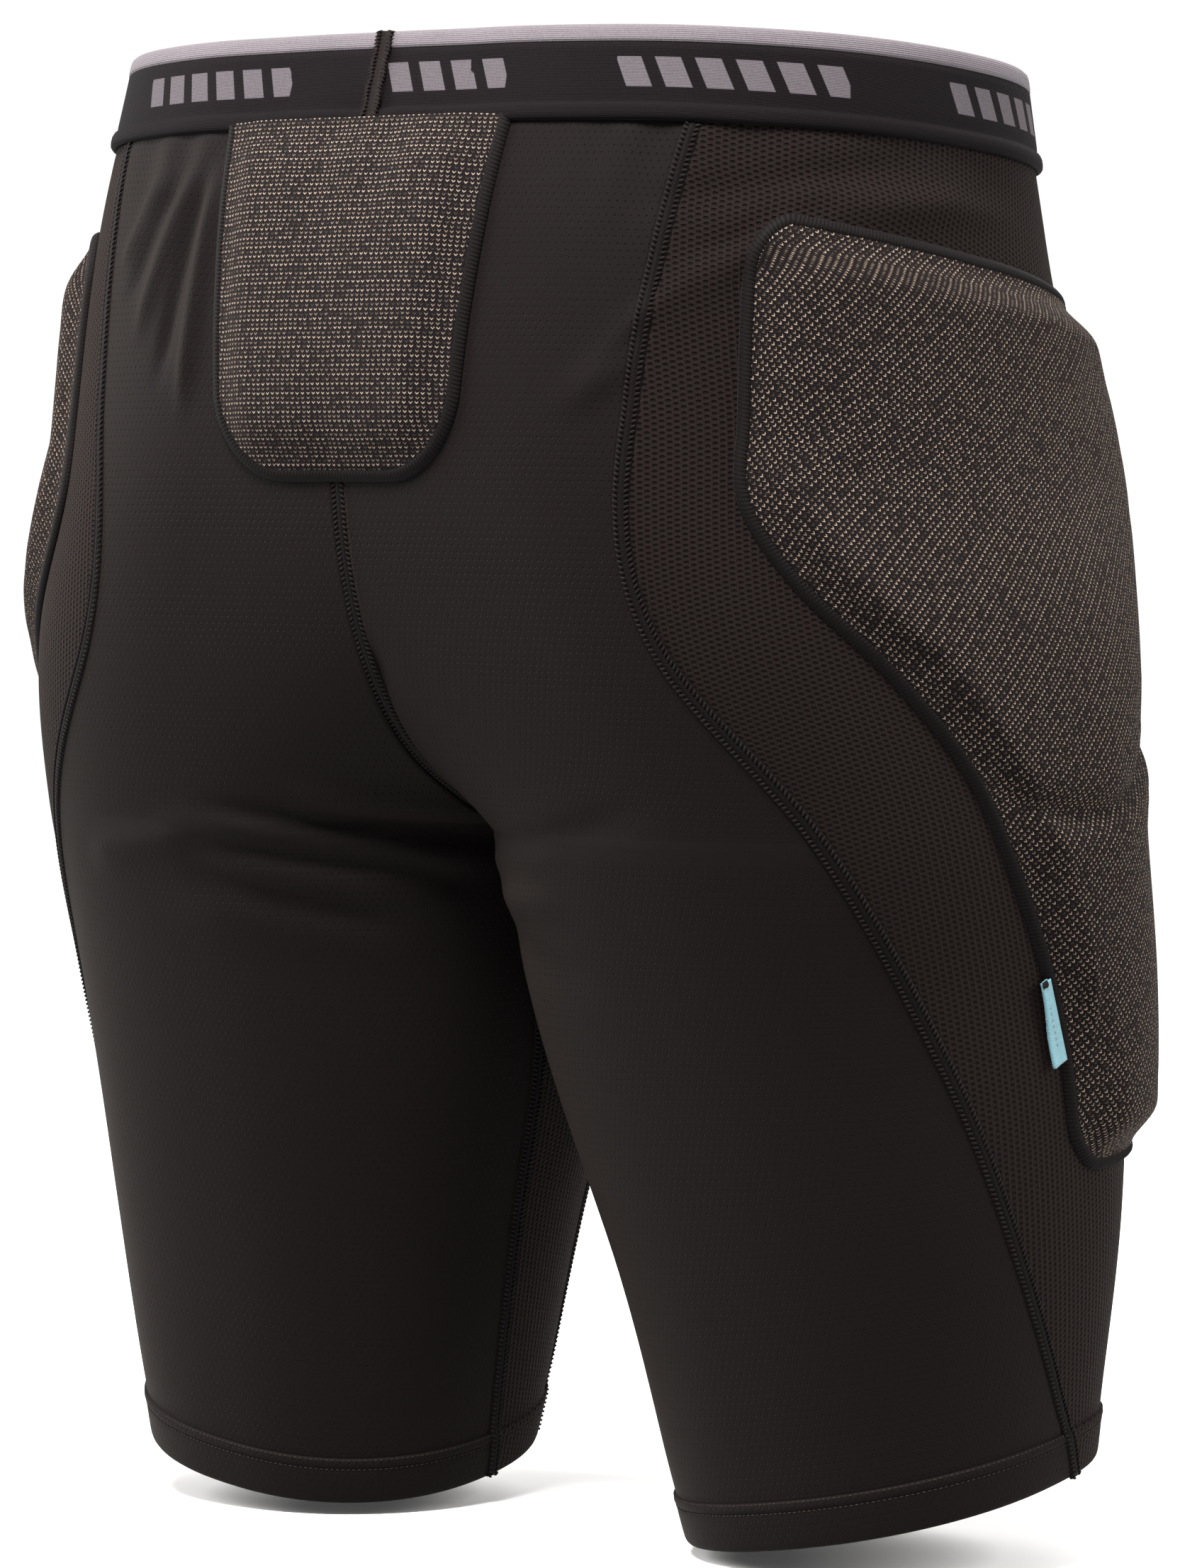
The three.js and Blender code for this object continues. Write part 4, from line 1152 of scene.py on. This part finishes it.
def waist_ring(name, node, shape, mat, slot_name):
    """One part of the elastic, as a closed ring; its last column is doubled while the pattern is laid on."""
    rings = np.stack([ring_points(h, off) for h, off in shape])
    rings = np.concatenate([rings, rings[:, :1]], 1)
    m, n = rings.shape[:2]
    round_it = lengths(rings[m // 3])
    # the pattern closes on the girth at half the band's height
    u = np.append(round_it[:-1] * waist_girth() / round_it[-1], 0)
    u[-1] = u[-2] + round_it[-1] - round_it[-2]
    up = np.array([h - BAND_LOW + (60 if off < 0 else 0) for h, off in shape])
    uv = rows_of(u, up[:, None]).reshape(-1, 2) * MM
    faces = ring_quads(m, n, True).reshape(m, n, 4)[:, :-1].reshape(-1, 4)
    ob = make_mesh(name, rings.reshape(-1, 3), faces.tolist(), uv)
    outward(ob.data, weld=True)
    dress(ob, slot_name, mat)
    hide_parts(node)
    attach(ob, "pelvis")


# the join's two upright cords, by their place across the back
JOIN_CORDS = (-1.1, 4.0)
STRIP_X = np.array([-1.6, -1.0, 0.4, 1.5, 2.6, 3.9, 4.6])
STRIP_LIFT = np.array([1.5, 2.3, 2.2, 2.05, 2.2, 2.3, 1.5])


def join_cord(x0):
    h = np.linspace(445.5, 475.0, 60)
    p, n = seat_back(x0 + 0.25 * np.sin(h * 0.7), h, np.full_like(h, 2.35))
    s = frame_along(p, n)[1]
    bead = 0.62 * (1 + 0.18 * np.sin(h * 4.2))[:, None]
    turn = np.linspace(0, 2 * math.pi, 8, endpoint=False)
    rings = np.stack([p + s * bead * math.cos(w) + n * bead * math.sin(w) for w in turn], 1)
    return tube_part(rings, rows_of(h[:, None], np.arange(8) * 0.5) * MM)


def join_zigzag(x0, lean):
    h = np.arange(446.0, 475.0, 1.25)
    p, n = seat_back(np.full_like(h, x0), h, np.full_like(h, 2.15))
    t, s = frame_along(p, n)
    return stitches(p, t, s * 0.95 + t * 0.3 * lean, n, 1.5, 0.33, 0.75, rows_of(h, x0))


def join_strip():
    """Folded strip between the cords."""
    x, h = np.meshgrid(STRIP_X, np.linspace(445.3, 475.2, 40))
    top = seat_back(x, h, np.broadcast_to(STRIP_LIFT, x.shape))[0]
    low = seat_back(x, h, np.full_like(x, 0.9))[0]
    return shell_part(top, low, grid_uv(top))


def build_waistband():
    waist_ring("waistband_woven", "waistband_elastic", BAND_SHAPE, BAND, "band")
    waist_ring("waistband_top_stripe", "waistband_stripe", STRIPE_SHAPE, STRIPE, "stripe")
    parts = [join_cord(x0) for x0 in JOIN_CORDS]
    parts += [join_zigzag(x0, lean) for x0, lean in zip(JOIN_CORDS, (1, -1))]
    ob = join_parts("waistband_join_stitching", parts + [join_strip()])
    dress(ob, "thread", THREAD)
    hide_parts("waistband_join_seam")
    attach(ob, "pelvis")


# ------------------------------------------------------------------ loop label
LABEL_H, LABEL_LENGTH = 165.0, 28.6
LABEL_START, LABEL_TOP_WIDE, LABEL_LOW_WIDE = 4.4, 4.4, 7.0


def label_frame():
    """The middle of the pad's back edge at the label, and directions down it, across it and out."""
    down = [surface(pad_edge_angle(h, False), h) for h in (np.array(LABEL_H - 8), np.array(LABEL_H + 8))]
    h = np.array(LABEL_H)
    a = pad_edge_angle(h, False)
    n = normal(a, h)
    t = unit(down[0] - down[1])
    return surface(a, h), t, unit(np.cross(n, t)), n


def build_label():
    """Ribbon folded into a loop, widening a little to its lower end, held by the pad's binding."""
    centre, t, s, n = label_frame()
    # across the ribbon: out along its upper face, round the fold and back underneath
    turn = np.linspace(-1, 1, 25)
    rise = 0.42 * np.sign(-turn) * np.minimum(1, np.abs(turn) / 0.22) ** 0.5
    down, out = np.meshgrid(np.linspace(0, 1, 34), 1 - np.abs(turn) ** 2.2)
    rise = np.broadcast_to(rise[:, None], down.shape)
    wide = (LABEL_TOP_WIDE + (LABEL_LOW_WIDE - LABEL_TOP_WIDE) * down) * out
    curl = 0.3 * np.sin(down * 7) * out + 0.45 * out * out
    along_it = (down - 0.5) * LABEL_LENGTH
    body = centre + t * along_it[..., None] - s * (LABEL_START - 1.0 + wide)[..., None]
    face = body + n * (1.95 + rise + curl)[..., None]
    uv = np.stack([along_it, wide + np.where(rise < 0, 20, 0)], -1) * MM
    ob = shell("loop_label_ribbon", face, face - grid_normals(face) * 0.28, uv)
    dress(ob, "label", LABEL)
    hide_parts("loop_label")
    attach(ob, "label")
    # bar of black stitching at its top corner, clear of the binding when the label lifts
    q = np.linspace(1.5, 3.6, 6)
    p = centre + t * (-13.6) + n * 2.75 - s * (LABEL_START + q)[:, None]
    bar = join_parts("loop_label_tack", [stitches(p, -s, t, n, 1.3, 0.42, 0.35, np.zeros((len(q), 2)))])
    dress(bar, "thread", THREAD)
    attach(bar, "label")


for side_prefix, side_left in SIDES:
    build_hip_pad(side_prefix, side_left)
build_tail_pad()
build_centre_seams()
build_waistband()
build_label()


# ------------------------------------------------------------------ floor, light and camera
def look(ob, direction):
    ob.rotation_euler = Vector(direction).to_track_quat("-Z", "Y").to_euler()


def floor_material():
    """Matt grey near the object, paler far out, so that the fabric isn't lit from below."""
    mat = bpy.data.materials.new("mat_floor")
    mat.use_nodes = True
    tree = mat.node_tree
    bsdf = tree.nodes["Principled BSDF"].inputs
    bsdf["Roughness"].default_value = 0.9
    bsdf["Specular IOR Level"].default_value = 0.1
    far = tree.nodes.new("ShaderNodeVectorMath")
    far.operation = "LENGTH"
    tree.links.new(tree.nodes.new("ShaderNodeTexCoord").outputs["Object"], far.inputs[0])
    tone = tree.nodes.new("ShaderNodeMapRange")
    tone.interpolation_type = "SMOOTHSTEP"
    for key, value in (("From Min", 0.5), ("From Max", 2.6), ("To Min", 0.5), ("To Max", 0.97)):
        tone.inputs[key].default_value = value
    tree.links.new(far.outputs["Value"], tone.inputs["Value"])
    tree.links.new(tone.outputs[0], bsdf["Base Color"])
    return mat


def area_light(name, azimuth, elevation, distance, size, watts):
    """A soft light that looks at the middle of the shorts; azimuth 0 is behind, 90 the wearer's right."""
    a, e = math.radians(azimuth), math.radians(elevation)
    light = bpy.data.lights.new(name, "AREA")
    light.energy = watts
    light.size = size
    light.spread = math.radians(110)
    light.color = (1.0, 0.975, 0.95)
    ob = bpy.data.objects.new(name, light)
    away = distance * np.array([math.sin(a) * math.cos(e), -math.cos(a) * math.cos(e), math.sin(e)])
    ob.location = np.array([0, 0, -0.24]) + away
    look(ob, -away)
    bpy.context.scene.collection.objects.link(ob)


def build_studio():
    floor_z = float(cad_box[0][2]) - 0.004
    bpy.ops.mesh.primitive_circle_add(vertices=96, radius=14, fill_type="NGON", location=(0, 0, floor_z))
    floor = bpy.context.object
    floor.name = "floor"
    floor.data.materials.append(floor_material())
    world = bpy.data.worlds.new("studio")
    world.use_nodes = True
    background = world.node_tree.nodes["Background"]
    background.inputs[0].default_value = (1, 1, 1, 1)
    background.inputs[1].default_value = 1.04
    bpy.context.scene.world = world
    area_light("key", 14, 58, 1.7, 0.6, 72)
    area_light("rim_right", 118, 24, 1.7, 0.9, 26)
    area_light("rim_left", -68, 22, 1.7, 0.9, 28)
    area_light("front", 190, 40, 2.2, 1.4, 10)


def build_camera():
    """Behind and to the wearer's right, a little below the waist."""
    azimuth, distance, height, dip = 0.672, 2.351, -0.127, math.radians(2.73)
    cam = bpy.data.cameras.new("camera")
    cam.lens = 159.8
    cam.sensor_width = 36
    cam.shift_x = 0.0063
    cam.clip_end = 60
    ob = bpy.data.objects.new("camera", cam)
    ob.location = (distance * math.sin(azimuth), -distance * math.cos(azimuth), height)
    look(ob, (-math.sin(azimuth) * math.cos(dip), math.cos(azimuth) * math.cos(dip), -math.sin(dip)))
    bpy.context.scene.collection.objects.link(ob)
    bpy.context.scene.camera = ob


build_studio()
build_camera()
bpy.context.scene.view_settings.view_transform = "Standard"
